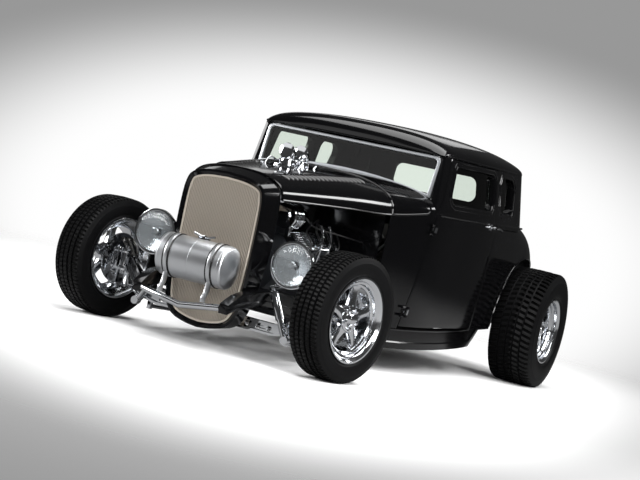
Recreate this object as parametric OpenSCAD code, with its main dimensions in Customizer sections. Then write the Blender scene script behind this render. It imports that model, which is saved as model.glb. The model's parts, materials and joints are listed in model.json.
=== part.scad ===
// Fenderless five-window coupe on a ladder frame, built from separate panels and mechanical parts.
// Every station is measured rearwards from the front axle, heights are above the ground,
// and the body and frame are tilted nose-down together by the rake.

/* [Stance] */
// Distance between the front and rear axles
wheelbase = 2692; // [2600:1:2800]
// Nose-down tilt of body and frame in degrees
rake = 2.5; // [2:0.1:3]
// Angle that the front wheels are left turned at, minus to the right
rest_steer = -11.5; // [-15:0.5:15]
// Gap round a panel that moves
panel_gap = 5; // [5:0.5:7]
// Gap where two fixed pieces seat on each other
seat_gap = 0.4; // [0.3:0.1:0.8]

/* [Wheels and tyres] */
// Outer radius of a front tyre
front_tyre_r = 306; // [290:1:320]
// Width of a front tyre
front_tyre_w = 174; // [160:1:190]
// Distance between the middles of the front tyres
front_track = 1356; // [1330:1:1400]
// Outer radius of a rear tyre
rear_tyre_r = 365; // [350:1:372]
// Width of a rear tyre
rear_tyre_w = 290; // [270:1:300]
// Distance between the middles of the rear tyres
rear_track = 1518; // [1510:1:1560]
// Radius of the rim's outer lip
rim_lip_r = 206; // [204:1:208]
// Radius of the bead seat that the tyre sits on
bead_r = 192; // [190:1:194]
// Width over the lips of a front rim
front_rim_w = 168; // [160:1:172]
// Width over the lips of a rear rim
rear_rim_w = 268; // [260:1:272]
// Number of spokes in a wheel
spoke_count = 5; // [5:1:6]
// Radius of the front spindle
spindle_r = 20; // [18:1:24]
// Radius of the rear axle shaft's end
shaft_r = 26; // [24:1:30]
// Running clearance of a hub or pin in its bore
run_gap = 0.08; // [0.05:0.01:0.1]

/* [Front suspension] */
// Distance of the front wheel's middle outboard of its kingpin
wheel_offset = 108; // [98:1:113]
// Radius of a kingpin
kingpin_r = 11; // [10:1:13]
// Height of the axle beam's middle
beam_z = 160; // [150:1:180]
// Height of the axle beam's section
beam_h = 58; // [50:1:66]
// Width of the axle beam's flanges
beam_w = 52; // [46:1:60]
// Length of a steering arm
steer_arm = 130; // [120:1:140]
// Height of the tie rod
tie_rod_z = 178; // [174:1:182]

/* [Body] */
// Height of the body's lower edge over the frame's own level
sill_z = 203; // [200:1:206]
// Height of the belt line
belt_z = 842; // [835:1:850]
// Height of the drip rail where the roof starts
drip_z = 1160; // [1150:1:1170]
// Amount that the body's side tucks in at its lower edge
side_tuck = 30; // [20:1:40]
// Amount that the side windows lean in at the drip rail
side_lean = 54; // [48:1:60]
// Thickness of a door or side wall
wall_t = 48; // [40:1:54]
// Thickness of the roof
roof_t = 26; // [20:1:32]
// Thickness of the hood and the cowl's skin
skin_t = 8; // [6:1:12]
// Station of the seam between hood and cowl
cowl_y = 837; // [820:1:850]
// Distance of the door's rear edge ahead of the rear axle
door_ahead = 780; // [767:1:792]
// Distance of the cabin's rear wall ahead of the rear axle
cabin_ahead = 142; // [122:1:162]
// Distance of the body's tail behind the rear axle
tail_behind = 578; // [548:1:608]
// Thickness of the window glass
glass_t = 5; // [4:0.5:6]

/* [Front end] */
// Half width of the grille shell
shell_x = 226; // [220:1:230]
// Height of the grille shell's top
shell_top_z = 890; // [880:1:900]
// Height of the grille shell's bottom
shell_bottom_z = 96; // [90:1:110]
// Radius of a headlamp's rim
lamp_r = 114; // [105:1:118]
// Radius of the front tank
tank_r = 103; // [95:1:108]
// Length of the tank's straight barrel
tank_barrel = 330; // [300:1:340]
// Number of bars in the grille
bar_count = 44; // [36:1:50]
// Width of a grille bar
bar_t = 3; // [2.5:0.1:4]
// Thickness of the grille insert
insert_t = 12; // [10:1:13]
// Width of the insert's edge round the bars
insert_edge = 10; // [8:1:12]

/* [Hidden] */
$fn = 48;
tiny = 0.01;

// Where a rear axle point lies in the tilted body's own frame
rear_axle_body = [wheelbase * cos(rake) + rear_tyre_r * sin(rake),
    rear_tyre_r * cos(rake) - wheelbase * sin(rake)];
axle_z = rear_axle_body[1];
kingpin_x = front_track / 2 - wheel_offset;

// Stations that follow the wheelbase: behind the rear axle by a distance, or along the door by a share
door_rear_y = wheelbase - door_ahead;
cabin_rear_y = wheelbase - cabin_ahead;
tail_y = wheelbase + tail_behind;
visor_y = 1260;
function aft(d) = wheelbase + d;
function over_door(u) = visor_y + (door_rear_y - visor_y) * u;

// Shape helpers: tables are [station, value] rows, joined by a smooth curve
function span(x, t) = max([0, for (k = [0 : len(t) - 2]) if (x >= t[k][0]) k]);
function slope(t, k) = let (a = max(k - 1, 0),
    b = min(k + 1, len(t) - 1)) (t[b][1] - t[a][1]) / (t[b][0] - t[a][0]);
function curve(x, t) = let (
    c = min(max(x, t[0][0]), t[len(t) - 1][0]), k = span(c, t), h = t[k + 1][0] - t[k][0],
        u = (c - t[k][0]) / h)
    t[k][1] * (2 * pow(u, 3) - 3 * pow(u, 2) + 1) + slope(t, k) * h * (pow(u, 3) - 2 * pow(u, 2) + u)
    + t[k + 1][1] * (3 * pow(u, 2) - 2 * pow(u, 3)) + slope(t, k + 1) * h * (pow(u, 3) - pow(u, 2));
function column(t, c) = [for (r = t) [r[0], r[c]]];
function steps(a, b, n) = [for (i = [0 : n]) a + (b - a) * i / n];
function backwards(l) = [for (i = [len(l) - 1 : -1 : 0]) l[i]];
function unit(v) = v / norm(v);

// Polygon with rounded corners: rows are [x, y, radius]
function rounded(p, n = 5) = [for (i = [0 : len(p) - 1]) let (
    c = [p[i][0], p[i][1]], a = p[(i + len(p) - 1) % len(p)], b = p[(i + 1) % len(p)],
    u = unit([a[0], a[1]] - c), v = unit([b[0], b[1]] - c), half = acos(max(-1, min(1, u * v))) / 2,
    r = p[i][2], d = r / tan(half), m = c + unit(u + v) * r / sin(half),
    s = c + u * d - m, e = c + v * d - m, sweep = 180 - 2 * half, turn = sign(s[0] * e[1] - s[1] * e[0]))
    for (k = [0 : n]) let (q = turn * sweep * k / n)
        m + [s[0] * cos(q) - s[1] * sin(q), s[0] * sin(q) + s[1] * cos(q)]];

// Half of a boxy arch from its foot to its top, as [half width, height] fractions
function arch(power, n) = [for (i = [0 : n]) let (q = 90 * i / n)
    [pow(max(cos(q), 0), 2 / power), pow(max(sin(q), 0), 2 / power)]];

// The same arch with steps spread up its side, round its corner and along its top
function boxy_arch(power) = let (edge = 0.94 * pow(0.5, 1 / power), q = asin(pow(edge, power / 2))) concat(
    [for (u = steps(0, edge, 4)) [pow(1 - pow(u, power), 1 / power), u]],
    [for (i = [1 : 2]) let (c = q + (90 - 2 * q) * i / 3) [pow(cos(c), 2 / power), pow(sin(c), 2 / power)]],
    [for (u = steps(edge, 0, 4)) [u, pow(1 - pow(u, power), 1 / power)]]);

// Solid through a row of closed loops, with ends closed or joined into a ring.
// A paired loop runs out along one face and back along the other, so its ends are strips.
module skin(loops, ring = false, paired = false) {
    n = len(loops[0]);
    m = len(loops);
    rows = ring ? m : m - 1;
    last = (m - 1) * n;
    sides = [for (i = [0 : rows - 1]) for (j = [0 : n - 1]) let (
        a = i * n + j, b = i * n + (j + 1) % n, c = ((i + 1) % m) * n + (j + 1) % n,
            d = ((i + 1) % m) * n + j)
        each [[a, b, c], [a, c, d]]];
    strips = [for (j = [0 : n / 2 - 2]) let (c = n - 2 - j, d = n - 1 - j) each [
        [j, d, c], [j, c, j + 1], [last + j, last + j + 1, last + c], [last + j, last + c, last + d]]];
    caps = [[for (j = [n - 1 : -1 : 0]) j], [for (j = [0 : n - 1]) last + j]];
    polyhedron(points = [for (l = loops) each l], faces = concat(sides, ring ? [] : paired ? strips : caps),
        convexity = 8);
}

// Tube along a smooth path of a few points
function path_at(p, u) = let (t = [for (i = [0 : len(p) - 1]) i])
    [for (k = [0 : len(p[0]) - 1]) curve(u, [for (i = t) [i, p[i][k]]])];
function smooth(p, n) = [for (u = steps(0, len(p) - 1, n)) path_at(p, u)];
module tube(p, r, n = 10, sides = 10) {
    skin([for (u = steps(0, len(p) - 1, n)) let (
        c = path_at(p, u), d = unit(path_at(p, min(u + 0.05, len(p) - 1)) - path_at(p, max(u - 0.05, 0))),
        s = unit(cross(d, abs(d[0]) < 0.9 ? [1, 0, 0] : [0, 0, 1])), w = cross(s, d))
        [for (j = [0 : sides - 1]) c + r * (s * cos(360 * j / sides) + w * sin(360 * j / sides))]]);
}

// Straight round bar between two points
module bar(a, b, r) {
    d = b - a;
    translate(a) rotate([0, acos(d[2] / norm(d)), atan2(d[1], d[0])]) cylinder(r = r, h = norm(d));
}

module along_x(h) { rotate([90, 0, 90]) linear_extrude(height = h, center = true) children(); }
module along_y(h) { rotate([90, 0, 0]) linear_extrude(height = h, center = true) children(); }
module both_sides() { children(); mirror([1, 0, 0]) children(); }
module turned_x() { rotate([0, 90, 0]) rotate_extrude($fn = 96) children(); }
module raked() { rotate([rake, 0, 0]) children(); }
module place() { translate([0, -origin_y, 0]) children(); }

// Frame rails: [station, outer half width, lower edge, upper edge]
rail = [[-366, 262, 218, 262], [-290, 270, 240, 304], [-150, 284, 258, 334], [50, 306, 258, 342],
    [250, 340, 196, 312], [500, 388, 130, 262], [837, 452, 92, sill_z - seat_gap],
        [1110, 544, 88, sill_z - seat_gap],
    [over_door(0.368), 606, 88, sill_z - seat_gap], [over_door(0.982), 606, 88, sill_z - seat_gap],
    [aft(-557), 582, 88, sill_z - seat_gap], [aft(-316), 552, 196, 300],
        [aft(-132), 520, axle_z + 53, axle_z + 137],
    [aft(68), 505, axle_z + 75, axle_z + 149], [aft(308), 470, 262, 318], [aft(458), 430, 232, 272]];
rail_w = 46;
rail_reveal = 5;
rail_lip = 14;
function rail_x(y) = curve(y, column(rail, 1));
function rail_edge(y, c) = y < cowl_y ? curve(y, column(rail, c)) : lookup(y, column(rail, c));
function rail_low(y) = rail_edge(y, 2);
function rail_top(y) = rail_edge(y, 3);
// Height above the ground of a point on the tilted frame
function ground_z(y, z) = y * sin(rake) + z * cos(rake);
function rail_loop(y) = let (x = rail_x(y), a = rail_low(y), b = rail_top(y), m = (b - a) * 0.3)
    [for (p = [[x - rail_w, a], [x, a], [x, a + m], [x - rail_reveal, a + m + rail_lip / 2],
        [x - rail_reveal, b - rail_lip], [x, b - rail_lip / 2], [x, b], [x - rail_w, b]]) [p[0], y, p[1]]];

// Crossmember: spans between the rails' inner faces at a station
module crossmember(y, depth, low, high) {
    w = rail_x(y) - rail_w + 2;
    translate([-w, y - depth / 2, low]) cube([2 * w, depth, high - low]);
}

// Pair of bracket holes through each rail near its rear end, level with the ground
bracket_hole_r = 6.5;
bracket_pitch = 60;
bracket_at = [aft(338), 410];
// Seats that the grille shell stands against, between the rails
shell_tab_x = 225.2;
shell_tab_y = -80;
shell_tab_z = 280;
gearbox_seat = 129.2;
module chassis_frame() color("black") difference() {
    raked() {
        both_sides() skin([for (k = [0 : len(rail) - 2]) for (u = [0, 0.5])
            rail_loop(rail[k][0] * (1 - u) + rail[k + 1][0] * u), rail_loop(rail[len(rail) - 1][0])]);
        crossmember(20, 90, 290, 334);
        crossmember(1120, 70, 90, gearbox_seat);
        crossmember(over_door(0.552), 60, 90, 114);
        crossmember(aft(-260), 50, 300, 322);
        crossmember(aft(353), 36, 258, 300);
        both_sides() translate([shell_tab_x, shell_tab_y, shell_tab_z - 14]) cube([36, 30, 28]);
    }
    for (i = [-0.5, 0.5]) translate([0, bracket_at[0] + i * bracket_pitch, bracket_at[1]]) rotate([0, 90, 0])
        cylinder(r = bracket_hole_r, h = 1200, center = true);
}

// Chromed bars that tie the frame horns together at the nose and the tail
spreader_r = 16;
spreader_y = -352;
spreader_z = 240;
spreader_drop = 34;
rear_bar_y = aft(440);
rear_bar_z = 262;
module spreader_bars() color("silver") raked() {
    front_half = rail_x(rail[0][0]) - rail_w - 2.2;
    rear_half = rail_x(rear_bar_y + spreader_r) - rail_w - seat_gap;
    both_sides() bar([0, spreader_y, spreader_z - spreader_drop], [front_half, spreader_y, spreader_z],
        spreader_r);
    translate([0, spreader_y, spreader_z - spreader_drop]) sphere(r = spreader_r);
    translate([-rear_half, rear_bar_y, rear_bar_z]) rotate([0, 90, 0])
        cylinder(r = spreader_r, h = 2 * rear_half);
}

// Front axle: a dropped and drilled I-beam with a kingpin boss at each end
beam_drop_x = kingpin_x - 240;
beam_rise_x = kingpin_x - 50;
boss_r = 25;
boss_h = 66;
pin_reach = 34;
beam_path = [[0, beam_z], [beam_drop_x, beam_z], [beam_drop_x + 80, beam_z + 14],
    [beam_rise_x - 46, beam_z + 82],
    [beam_rise_x + 4, front_tyre_r - 5], [kingpin_x - boss_r + 4, front_tyre_r]];
function path_normal(p, i) = let (d = p[min(i + 1, len(p) - 1)] - p[max(i - 1, 0)]) unit([-d[1], d[0]]);
function band(p, low, high) = concat([for (i = [0 : len(p) - 1]) p[i] + low * path_normal(p, i)],
    [for (i = [len(p) - 1 : -1 : 0]) p[i] + high * path_normal(p, i)]);
flange_t = 11;
web_t = 12;
beam_hole_r = 13;
module front_axle() color("silver") {
    both_sides() difference() {
        union() {
            along_y(web_t) polygon(band(beam_path, -beam_h / 2, beam_h / 2));
            for (s = [-1, 1]) along_y(beam_w)
                polygon(band(beam_path, s * (beam_h / 2 - flange_t / 2) - flange_t / 2,
                    s * (beam_h / 2 - flange_t / 2) + flange_t / 2));
            translate([kingpin_x, 0, front_tyre_r - boss_h / 2]) cylinder(r = boss_r, h = boss_h);
            translate([kingpin_x, 0, front_tyre_r - boss_h / 2 - pin_reach])
                cylinder(r = kingpin_r, h = boss_h + 2 * pin_reach);
        }
        for (x = [60 : 62 : beam_drop_x]) translate([x, 0, beam_z]) rotate([90, 0, 0])
            cylinder(r = beam_hole_r, h = 2 * beam_w, center = true);
    }
}

// Transverse leaf spring: half length of each leaf from the main one up
perch_x = kingpin_x - 190;
leaves = [for (d = [-10, 50, 135, 220]) perch_x - d];
leaf_t = 9;
leaf_w = 44;
spring_low_z = 226;
spring_rise = 14;
perch_foot = beam_z + 14 * (perch_x + 12 - beam_drop_x) / 80 + beam_h / 2 * 1.015 + seat_gap;
spring_pad = ground_z(20, 290) - seat_gap - spring_low_z - spring_rise - len(leaves) * leaf_t;
function leaf_z(x) = spring_low_z + spring_rise * (1 - pow(x / perch_x, 2));
module front_spring() color("dimgray") {
    for (i = [0 : len(leaves) - 1]) along_y(leaf_w)
        polygon(band([for (x = steps(-leaves[i], leaves[i], 12)) [x, leaf_z(x) + i * leaf_t]], 0,
            leaf_t + 0.6));
    both_sides() translate([perch_x - 12, -leaf_w / 2, perch_foot])
        cube([24, leaf_w, leaf_z(perch_x) - perch_foot + 2]);
    translate([-60, -leaf_w / 2, leaf_z(0) + len(leaves) * leaf_t - 1]) cube([120, leaf_w, spring_pad]);
}

// Hairpin radius rods from the axle back to the frame
rod_x = kingpin_x - 178;
rod_r = 11;
rod_rear = [416, 800, 84];
module radius_rods() color("silver") both_sides() {
    for (s = [-1, 1]) bar([rod_x, beam_w / 2 + 14, beam_z + s * 50], rod_rear + [0, 0, s * 6], rod_r);
    translate([rod_x, beam_w / 2 + 13, beam_z]) cube([18, 26 - 2 * seat_gap, 130], center = true);
    translate(rod_rear) rotate([0, 90, 0]) cylinder(r = 24, h = 24, center = true);
    translate([rod_rear[0] - 12, rod_rear[1] - 20, rod_rear[2]])
        cube([24, 40, ground_z(rod_rear[1] + 20, rail_low(rod_rear[1] + 26)) - rod_rear[2] - seat_gap]);
}

// Tube shock absorbers between the frame and the axle
shock_y = -48;
shock_top = [rail_x(-28) + 20.4 + seat_gap, shock_y, 326];
shock_foot = [kingpin_x - 146, shock_y, 128];
module shock_absorbers() color("silver") both_sides() {
    middle = shock_foot + (shock_top - shock_foot) * 0.52;
    bar(shock_foot, middle, 16);
    bar(middle - (shock_top - shock_foot) * 0.06, shock_top, 21);
    translate(shock_foot) rotate([90, 0, 0]) cylinder(r = 20, h = 34, center = true);
    translate([shock_foot[0], shock_y + 17, shock_foot[2]]) rotate([-90, 0, 0]) cylinder(r = 9, h = 6);
    translate(shock_top) rotate([90, 0, 0]) cylinder(r = 20, h = 34, center = true);
}

// Front knuckle on its kingpin: x runs outboard from the pin and z up from the axle
ear_t = 22;
drum_face = 36;
front_face = 28;
spindle_end = wheel_offset + front_face - 8;
arm_w = 26;
arm_from = 30;
arm_t = 18;
stud_r = 8;
module knuckle() {
    ear_z = boss_h / 2 + 0.5;
    difference() {
        union() {
            for (s = [-1, 1]) translate([0, 0, s * (ear_z + ear_t / 2)]) {
                cylinder(r = 26, h = ear_t, center = true);
                translate([20, 0, 0]) cube([40, 40, ear_t], center = true);
            }
            translate([36, 0, 0]) cube([12, 44, 2 * (ear_z + ear_t)], center = true);
            translate([drum_face, 0, 0]) rotate([0, 90, 0]) cylinder(r = 128, h = 8);
            translate([-arm_w / 2, 0, -ear_z - ear_t]) cube([arm_w, arm_from + 20, ear_t - 4]);
        }
        cylinder(r = kingpin_r + run_gap, h = 4 * boss_h, center = true);
    }
    translate([drum_face + 7, 0, 0]) rotate([0, 90, 0])
        cylinder(r = spindle_r, h = spindle_end - drum_face - 7);
    arm_z = tie_rod_z - front_tyre_r;
    translate([-arm_w / 2, arm_from, arm_z - arm_t / 2]) cube([arm_w, 20, -ear_z - 4 - arm_z + arm_t / 2]);
    difference() {
        union() {
            translate([-arm_w / 2, arm_from, arm_z - arm_t / 2]) cube([arm_w, steer_arm - arm_from, arm_t]);
            translate([0, steer_arm, arm_z]) cylinder(r = 17, h = arm_t, center = true);
        }
        translate([0, steer_arm, arm_z]) cylinder(r = stud_r + run_gap, h = 60, center = true);
    }
}
module steered(side) translate([side * kingpin_x, 0, front_tyre_r]) rotate([0, 0, rest_steer]) children();
module knuckle_left() color("silver") steered(1) knuckle();
module knuckle_right() color("silver") steered(-1) mirror([1, 0, 0]) knuckle();

// Tie rod between the two steering arms, with a stud in each arm's eye
function arm_end(side) = [side * kingpin_x - steer_arm * sin(rest_steer), steer_arm * cos(rest_steer),
    tie_rod_z];
tie_rod_r = 11;
module tie_rod() color("silver") {
    drop = [0, 0, -26];
    bar(arm_end(-1) + drop, arm_end(1) + drop, tie_rod_r);
    translate(arm_end(1) + drop) cylinder(r = stud_r, h = 44);
    translate(arm_end(-1) + drop) cylinder(r = stud_r - 2, h = 44);
    for (side = [-1, 1]) translate(arm_end(side) + drop) sphere(r = 15);
}

// Rear axle housing, its middle casing, drums and shaft ends
axle_tube_r = 38;
rear_drum_x = rear_track / 2 - 84;
module rear_axle() color("dimgray") translate([0, wheelbase, rear_tyre_r]) {
    rotate([0, 90, 0]) cylinder(r = axle_tube_r, h = 2 * rear_drum_x, center = true);
    rotate([0, 90, 0]) rotate_extrude() polygon([[0, -120], [70, -120], [128, -56], [128, 56], [70, 120],
        [0, 120]]);
    rotate([90, 0, 0]) cylinder(r = 56, h = 205);
    both_sides() translate([rear_drum_x - 12, 0, 0]) rotate([0, 90, 0]) cylinder(r = 128, h = 12);
    both_sides() translate([rear_drum_x - 1, 0, 0]) rotate([0, 90, 0]) cylinder(r = shaft_r, h = 100);
}

// Rear coil-over legs and trailing bars, each bar as [height at the axle, height at the front]
coil_x = 424;
trail_x = 380;
trail_bars = [[-70, 150], [10, 190]];
trail_len = 560;
module rear_suspension() color("silver") both_sides() {
    front_of_tube = wheelbase - axle_tube_r - seat_gap;
    bar([coil_x, wheelbase + 70, rear_tyre_r - 20], [coil_x, wheelbase + 64, rear_tyre_r + 132], 26);
    translate([coil_x - 14, wheelbase + axle_tube_r + seat_gap, rear_tyre_r - 36]) cube([28, 40, 30]);
    translate([coil_x, wheelbase + 64, rear_tyre_r + 116]) rotate([0, 90, 0])
        cylinder(r = 10, h = rail_x(aft(97)) - rail_w - coil_x - seat_gap);
    for (b = trail_bars)
        bar([trail_x, front_of_tube - 12, rear_tyre_r + b[0]], [trail_x, front_of_tube - trail_len, b[1]],
            13);
    translate([trail_x - 20, front_of_tube - 24, rear_tyre_r - 90]) cube([40, 24, 130]);
}

// Engine: its V-shaped block, then what is bolted to it, in the frame's own tilted axes
crank_z = 330;
engine_front = 190;
engine_rear = 700;
bank = 45;
engine_mid = (engine_front + engine_rear) / 2;
head_w = 150;
head_at = [172, 520];
module engine_block() color("dimgray") raked() {
    translate([0, engine_mid, 0]) along_y(engine_rear - engine_front)
        polygon([[-105, 214], [105, 214], [128, 316], [205, 420], [160, 500], [60, 560],
            [-60, 560], [-160, 500], [-205, 420], [-128, 316]]);
    both_sides() translate([head_at[0], engine_mid, head_at[1]]) rotate([0, bank, 0])
        cube([head_w, engine_rear - engine_front - 20, 96], center = true);
    translate([0, engine_front + 1, crank_z]) rotate([90, 0, 0]) cylinder(r = 120, h = 40);
}
cover_w = 104;
cover_l = engine_rear - engine_front - 40;
cover_h = 56;
module engine_dress() color("silver") raked() {
    both_sides() translate([head_at[0], engine_mid, head_at[1]]) rotate([0, bank, 0])
        translate([0, 0, 48 + seat_gap]) {
            translate([-cover_w / 2, -cover_l / 2, 0]) cube([cover_w, cover_l, cover_h]);
            for (k = [-3 : 3]) translate([k * cover_w / 8 - 2.5, -cover_l / 2 + 12, cover_h - 1])
                cube([5, cover_l - 24, 8]);
        }
    translate([0, engine_front - 39.6, crank_z]) rotate([90, 0, 0]) cylinder(r = 82, h = 44);
    translate([0, engine_front - 39.6, crank_z + 190]) rotate([90, 0, 0]) cylinder(r = 66, h = 44);
    translate([0, engine_front - seat_gap, crank_z + 190]) rotate([90, 0, 0]) cylinder(r = 40, h = 43);
    translate([205, 118, 700]) rotate([-90, 0, 0]) rotate_extrude($fn = 64) difference() {
        square([62, 110]);
        for (k = [0 : 3]) translate([50, 30 + k * 16]) square([20, 8]);
    }
    translate([205, 100, 700]) rotate([-90, 0, 0]) cylinder(r = 34, h = 19);
    translate([196, 180, 600]) cube([20, 30, 60]);
}

// Tall ram intake, two carburettors and a forward-facing scoop on each
plenum_z = 860;
carb_stations = [436, 592];
module scoop() {
    rotate([90, 0, 90]) rotate_extrude(angle = 80, $fn = 48) translate([48, 0]) circle(r = 40);
}
module intake() color("silver") raked() {
    translate([-62, 300, plenum_z - 110]) cube([124, 430, 110]);
    translate([-58, 310, 561]) cube([116, 370, plenum_z - 110 - 560]);
    for (y = carb_stations) translate([0, y, plenum_z]) {
        translate([-64, -68, -1]) cube([128, 136, 20]);
        translate([-52, -40, 18]) cube([104, 80, 60]);
        for (s = [-1, 1]) translate([-40, s * 50 - 20, 22]) cube([80, 40, 46]);
        translate([0, 0, 77]) cylinder(r = 46, h = 30);
        translate([0, -48, 106]) scoop();
    }
}

// Exhaust: four pipes a side that end in a bundle on a collector, then a pipe along the frame.
// Each row is one pipe from the front: [bundle place across, bundle place up]
port_pitch = 112;
// Point a distance out from a port's face
function port_at(y, d) = let (r = head_w / 2 + d) [head_at[0] + r * cos(bank), y, head_at[1] - r * sin(bank)];
pipe_r = 18;
pipe_bundle = [[1, -1], [-1, -1], [1, 1], [-1, 1]];
collector_at = [272, 744, 164];
module exhaust() color("silver") raked() both_sides() {
    translate([head_at[0], engine_mid, head_at[1]]) rotate([0, bank, 0])
        translate([head_w / 2 + seat_gap, -port_pitch * 2, -24]) cube([10, port_pitch * 4, 48]);
    for (i = [0 : 3]) let (y = engine_mid + (i - 1.5) * port_pitch, e = pipe_bundle[i] * (pipe_r + 1))
        tube([port_at(y, 6), port_at(y, 44), port_at(y + 16, 76) + [6, 0, -14],
            [collector_at[0] + e[0] + 8, collector_at[1] - 100, collector_at[2] + e[1] + 66],
            [collector_at[0] + e[0], collector_at[1] + 7, collector_at[2] + e[1]]], pipe_r, 14, 12);
    translate(collector_at + [0, 6, 0]) rotate([-90, 0, 0]) cylinder(r1 = 48, r2 = 32, h = 110);
    bar(collector_at + [0, 100, 0], [330, aft(-592), 146], 30);
}

// Gearbox and drive shaft
shaft_from = [0, 1405, crank_z - 2];
pinion = [0, rear_axle_body[0] - 210, rear_axle_body[1]];
module drivetrain() color("dimgray") raked() {
    translate([0, engine_rear + seat_gap, crank_z]) rotate([-90, 0, 0]) cylinder(r1 = 188, r2 = 112, h = 160);
    translate([0, engine_rear + 160, crank_z]) rotate([-90, 0, 0]) cylinder(r = 100, h = 380);
    translate([0, engine_rear + 540 - 1, crank_z]) rotate([-90, 0, 0]) cylinder(r = 50, h = 170);
    bar(shaft_from, pinion, 36);
    translate([-50, 1100, gearbox_seat + seat_gap]) cube([100, 40, crank_z - 90 - gearbox_seat]);
}

// Grille shell: a rounded frame round the bars, with the radiator behind it
grille_y = -150;
shell_depth = 104;
shell_rim = 26;
// Front outline of the shell: [half width, height] from the top middle to the bottom middle
shell_points = [[0, shell_top_z - 34], [110, shell_top_z - 42], [190, shell_top_z - 68],
    [shell_x - 8, shell_top_z - 118],
    [shell_x, shell_top_z - 220], [shell_x - 2, 480], [shell_x - 10, 300], [shell_x - 30, 190], [150, 130],
    [70, shell_bottom_z + 8], [0, shell_bottom_z]];
shell_line = smooth(shell_points, 30);
function whole(half) = concat(half, [for (i = [len(half) - 2 : -1 : 1]) [-half[i][0], half[i][1]]]);
function inward(p, d) = [for (i = [0 : len(p) - 1]) let (
    a = p[(i + len(p) - 1) % len(p)], b = p[(i + 1) % len(p)], t = unit(b - a)) p[i] + d * [t[1], -t[0]]];
shell_outer = whole(shell_line);
function shell_half(z) = lookup(z, [for (p = shell_line) [p[1], p[0]]]);
// Shell section: [inset from the outline, depth behind the front, share of the flare]
shell_wall = 14;
shell_section = [[0, shell_depth, 1], [shell_wall, shell_depth, 1], [shell_wall, 30, 0.2], [shell_rim, 14, 0],
    [shell_rim, 4, 0], [12, -8, 0], [0, 0, 0]];
shell_flare = 30;
shell_lift = 34;
module grille_shell() color("black") raked() {
    n = len(shell_outer);
    skin([for (i = [0 : n - 1]) let (
        p = shell_outer[i], t = unit(shell_outer[(i + 1) % n] - shell_outer[(i + n - 1) % n]),
            out = [-t[1], t[0]],
        side = min(1, max(0, (p[1] - 200) / 300)), top = max(0, (p[1] - 700) / (shell_top_z - 700)))
        [for (s = shell_section) [p[0] + out[0] * (side * shell_flare * s[2] - s[0]), grille_y + s[1],
            p[1] + out[1] * -s[0] + top * shell_lift * s[2]]]], ring = true);
}
insert_depth = 3;
module grille_insert() color("silver") raked() {
    pitch = 2 * (shell_x - shell_rim - insert_edge) / bar_count;
    translate([0, grille_y + insert_depth + insert_t, 0]) rotate([90, 0, 0])
        linear_extrude(height = insert_t) difference() {
        polygon(inward(shell_outer, shell_rim + 2 * seat_gap));
        intersection() {
            polygon(inward(shell_outer, shell_rim + insert_edge));
            for (i = [0 : bar_count - 1]) translate([(i - bar_count / 2) * pitch + bar_t / 2, 0])
                square([pitch - bar_t, 900]);
        }
    }
}
radiator_low = 301;
module radiator() color("dimgray") raked() {
    half = shell_half(radiator_low) - shell_wall + 2.6;
    translate([-half, grille_y + 40, radiator_low]) cube([2 * half, 60, 450]);
}

// Body plan: [station, half width at the belt]
tail_start = aft(-92);
corner_y = aft(-392);
plan = [[cowl_y, 460], [1110, 590], [over_door(0.368), 642], [over_door(0.951), 668], [corner_y, 664],
    [tail_start, 655]];
function plan_x(y) = y <= tail_start ? curve(y, plan)
    : plan[5][1] * pow(max(0, 1 - pow((y - tail_start) / (tail_y - tail_start), 3)), 1 / 3);
lean_at = [[1150, side_lean - 12], [door_rear_y, side_lean]];
belt_step = 6;
function side_x(y, z) = z <= belt_z ? plan_x(y) - side_tuck * pow((belt_z - z) / (belt_z - sill_z), 2)
    : plan_x(y) - belt_step - curve(y, lean_at) * (z - belt_z) / (drip_z - belt_z);
wall_heights = [sill_z, 300, 420, 560, 700, 800, belt_z, belt_z + tiny, 960, 1060, drip_z - 4];
function wall_loop(y) = concat([for (z = wall_heights) [side_x(y, z), y, z]],
    [for (z = backwards(wall_heights)) [side_x(y, z) - wall_t, y, z]]);
module side_wall(from, to, n) { skin([for (y = steps(from, to, n)) wall_loop(y)], paired = true); }
module side_prism(outline, reach = 400) { translate([reach, 0, 0]) along_x(2 * reach) polygon(outline); }

// Windshield: its foot, lean and depth
ws_foot = [1125, 921];
ws_lean = 14;
ws_t = 20;
ws_half = 533;
ws_h = 236;
ws_arch = 52;
ws_rim = 17;
function ws_at(v, d) = [ws_foot[0] + v * sin(ws_lean) + d * cos(ws_lean),
    ws_foot[1] + v * cos(ws_lean) - d * sin(ws_lean)];

// Door outline: a front edge that leans with the post, and the lines above the belt
door_foot_y = 1048;
door_belt_y = 1130;
function door_front(z) = door_foot_y + (door_belt_y - door_foot_y) * (z - sill_z) / (belt_z - sill_z);
post_w = 62;
door_top = drip_z - 8;
door_low = sill_z + 14;
function door_edge(d, low) = [[door_front(sill_z) + d, low], [door_front(belt_z) + d, belt_z],
    [ws_at(0, post_w)[0] + d, ws_foot[1]], [ws_at(door_top - ws_foot[1], post_w)[0] + d, door_top]];
door_outline = concat(door_edge(0, door_low), [[door_rear_y, door_top], [door_rear_y, door_low]]);
door_window = rounded([[1268, 914, 46], [1322, 1116, 30], [door_rear_y - 44, 1122, 30],
    [door_rear_y - 50, 914, 46]]);
door_window_glass = rounded([[1268.6, 914.4, 46], [1322.4, 1115.6, 30],
    [door_rear_y - 44.4, 1121.6, 30], [door_rear_y - 50.4, 914.4, 46]]);

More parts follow.
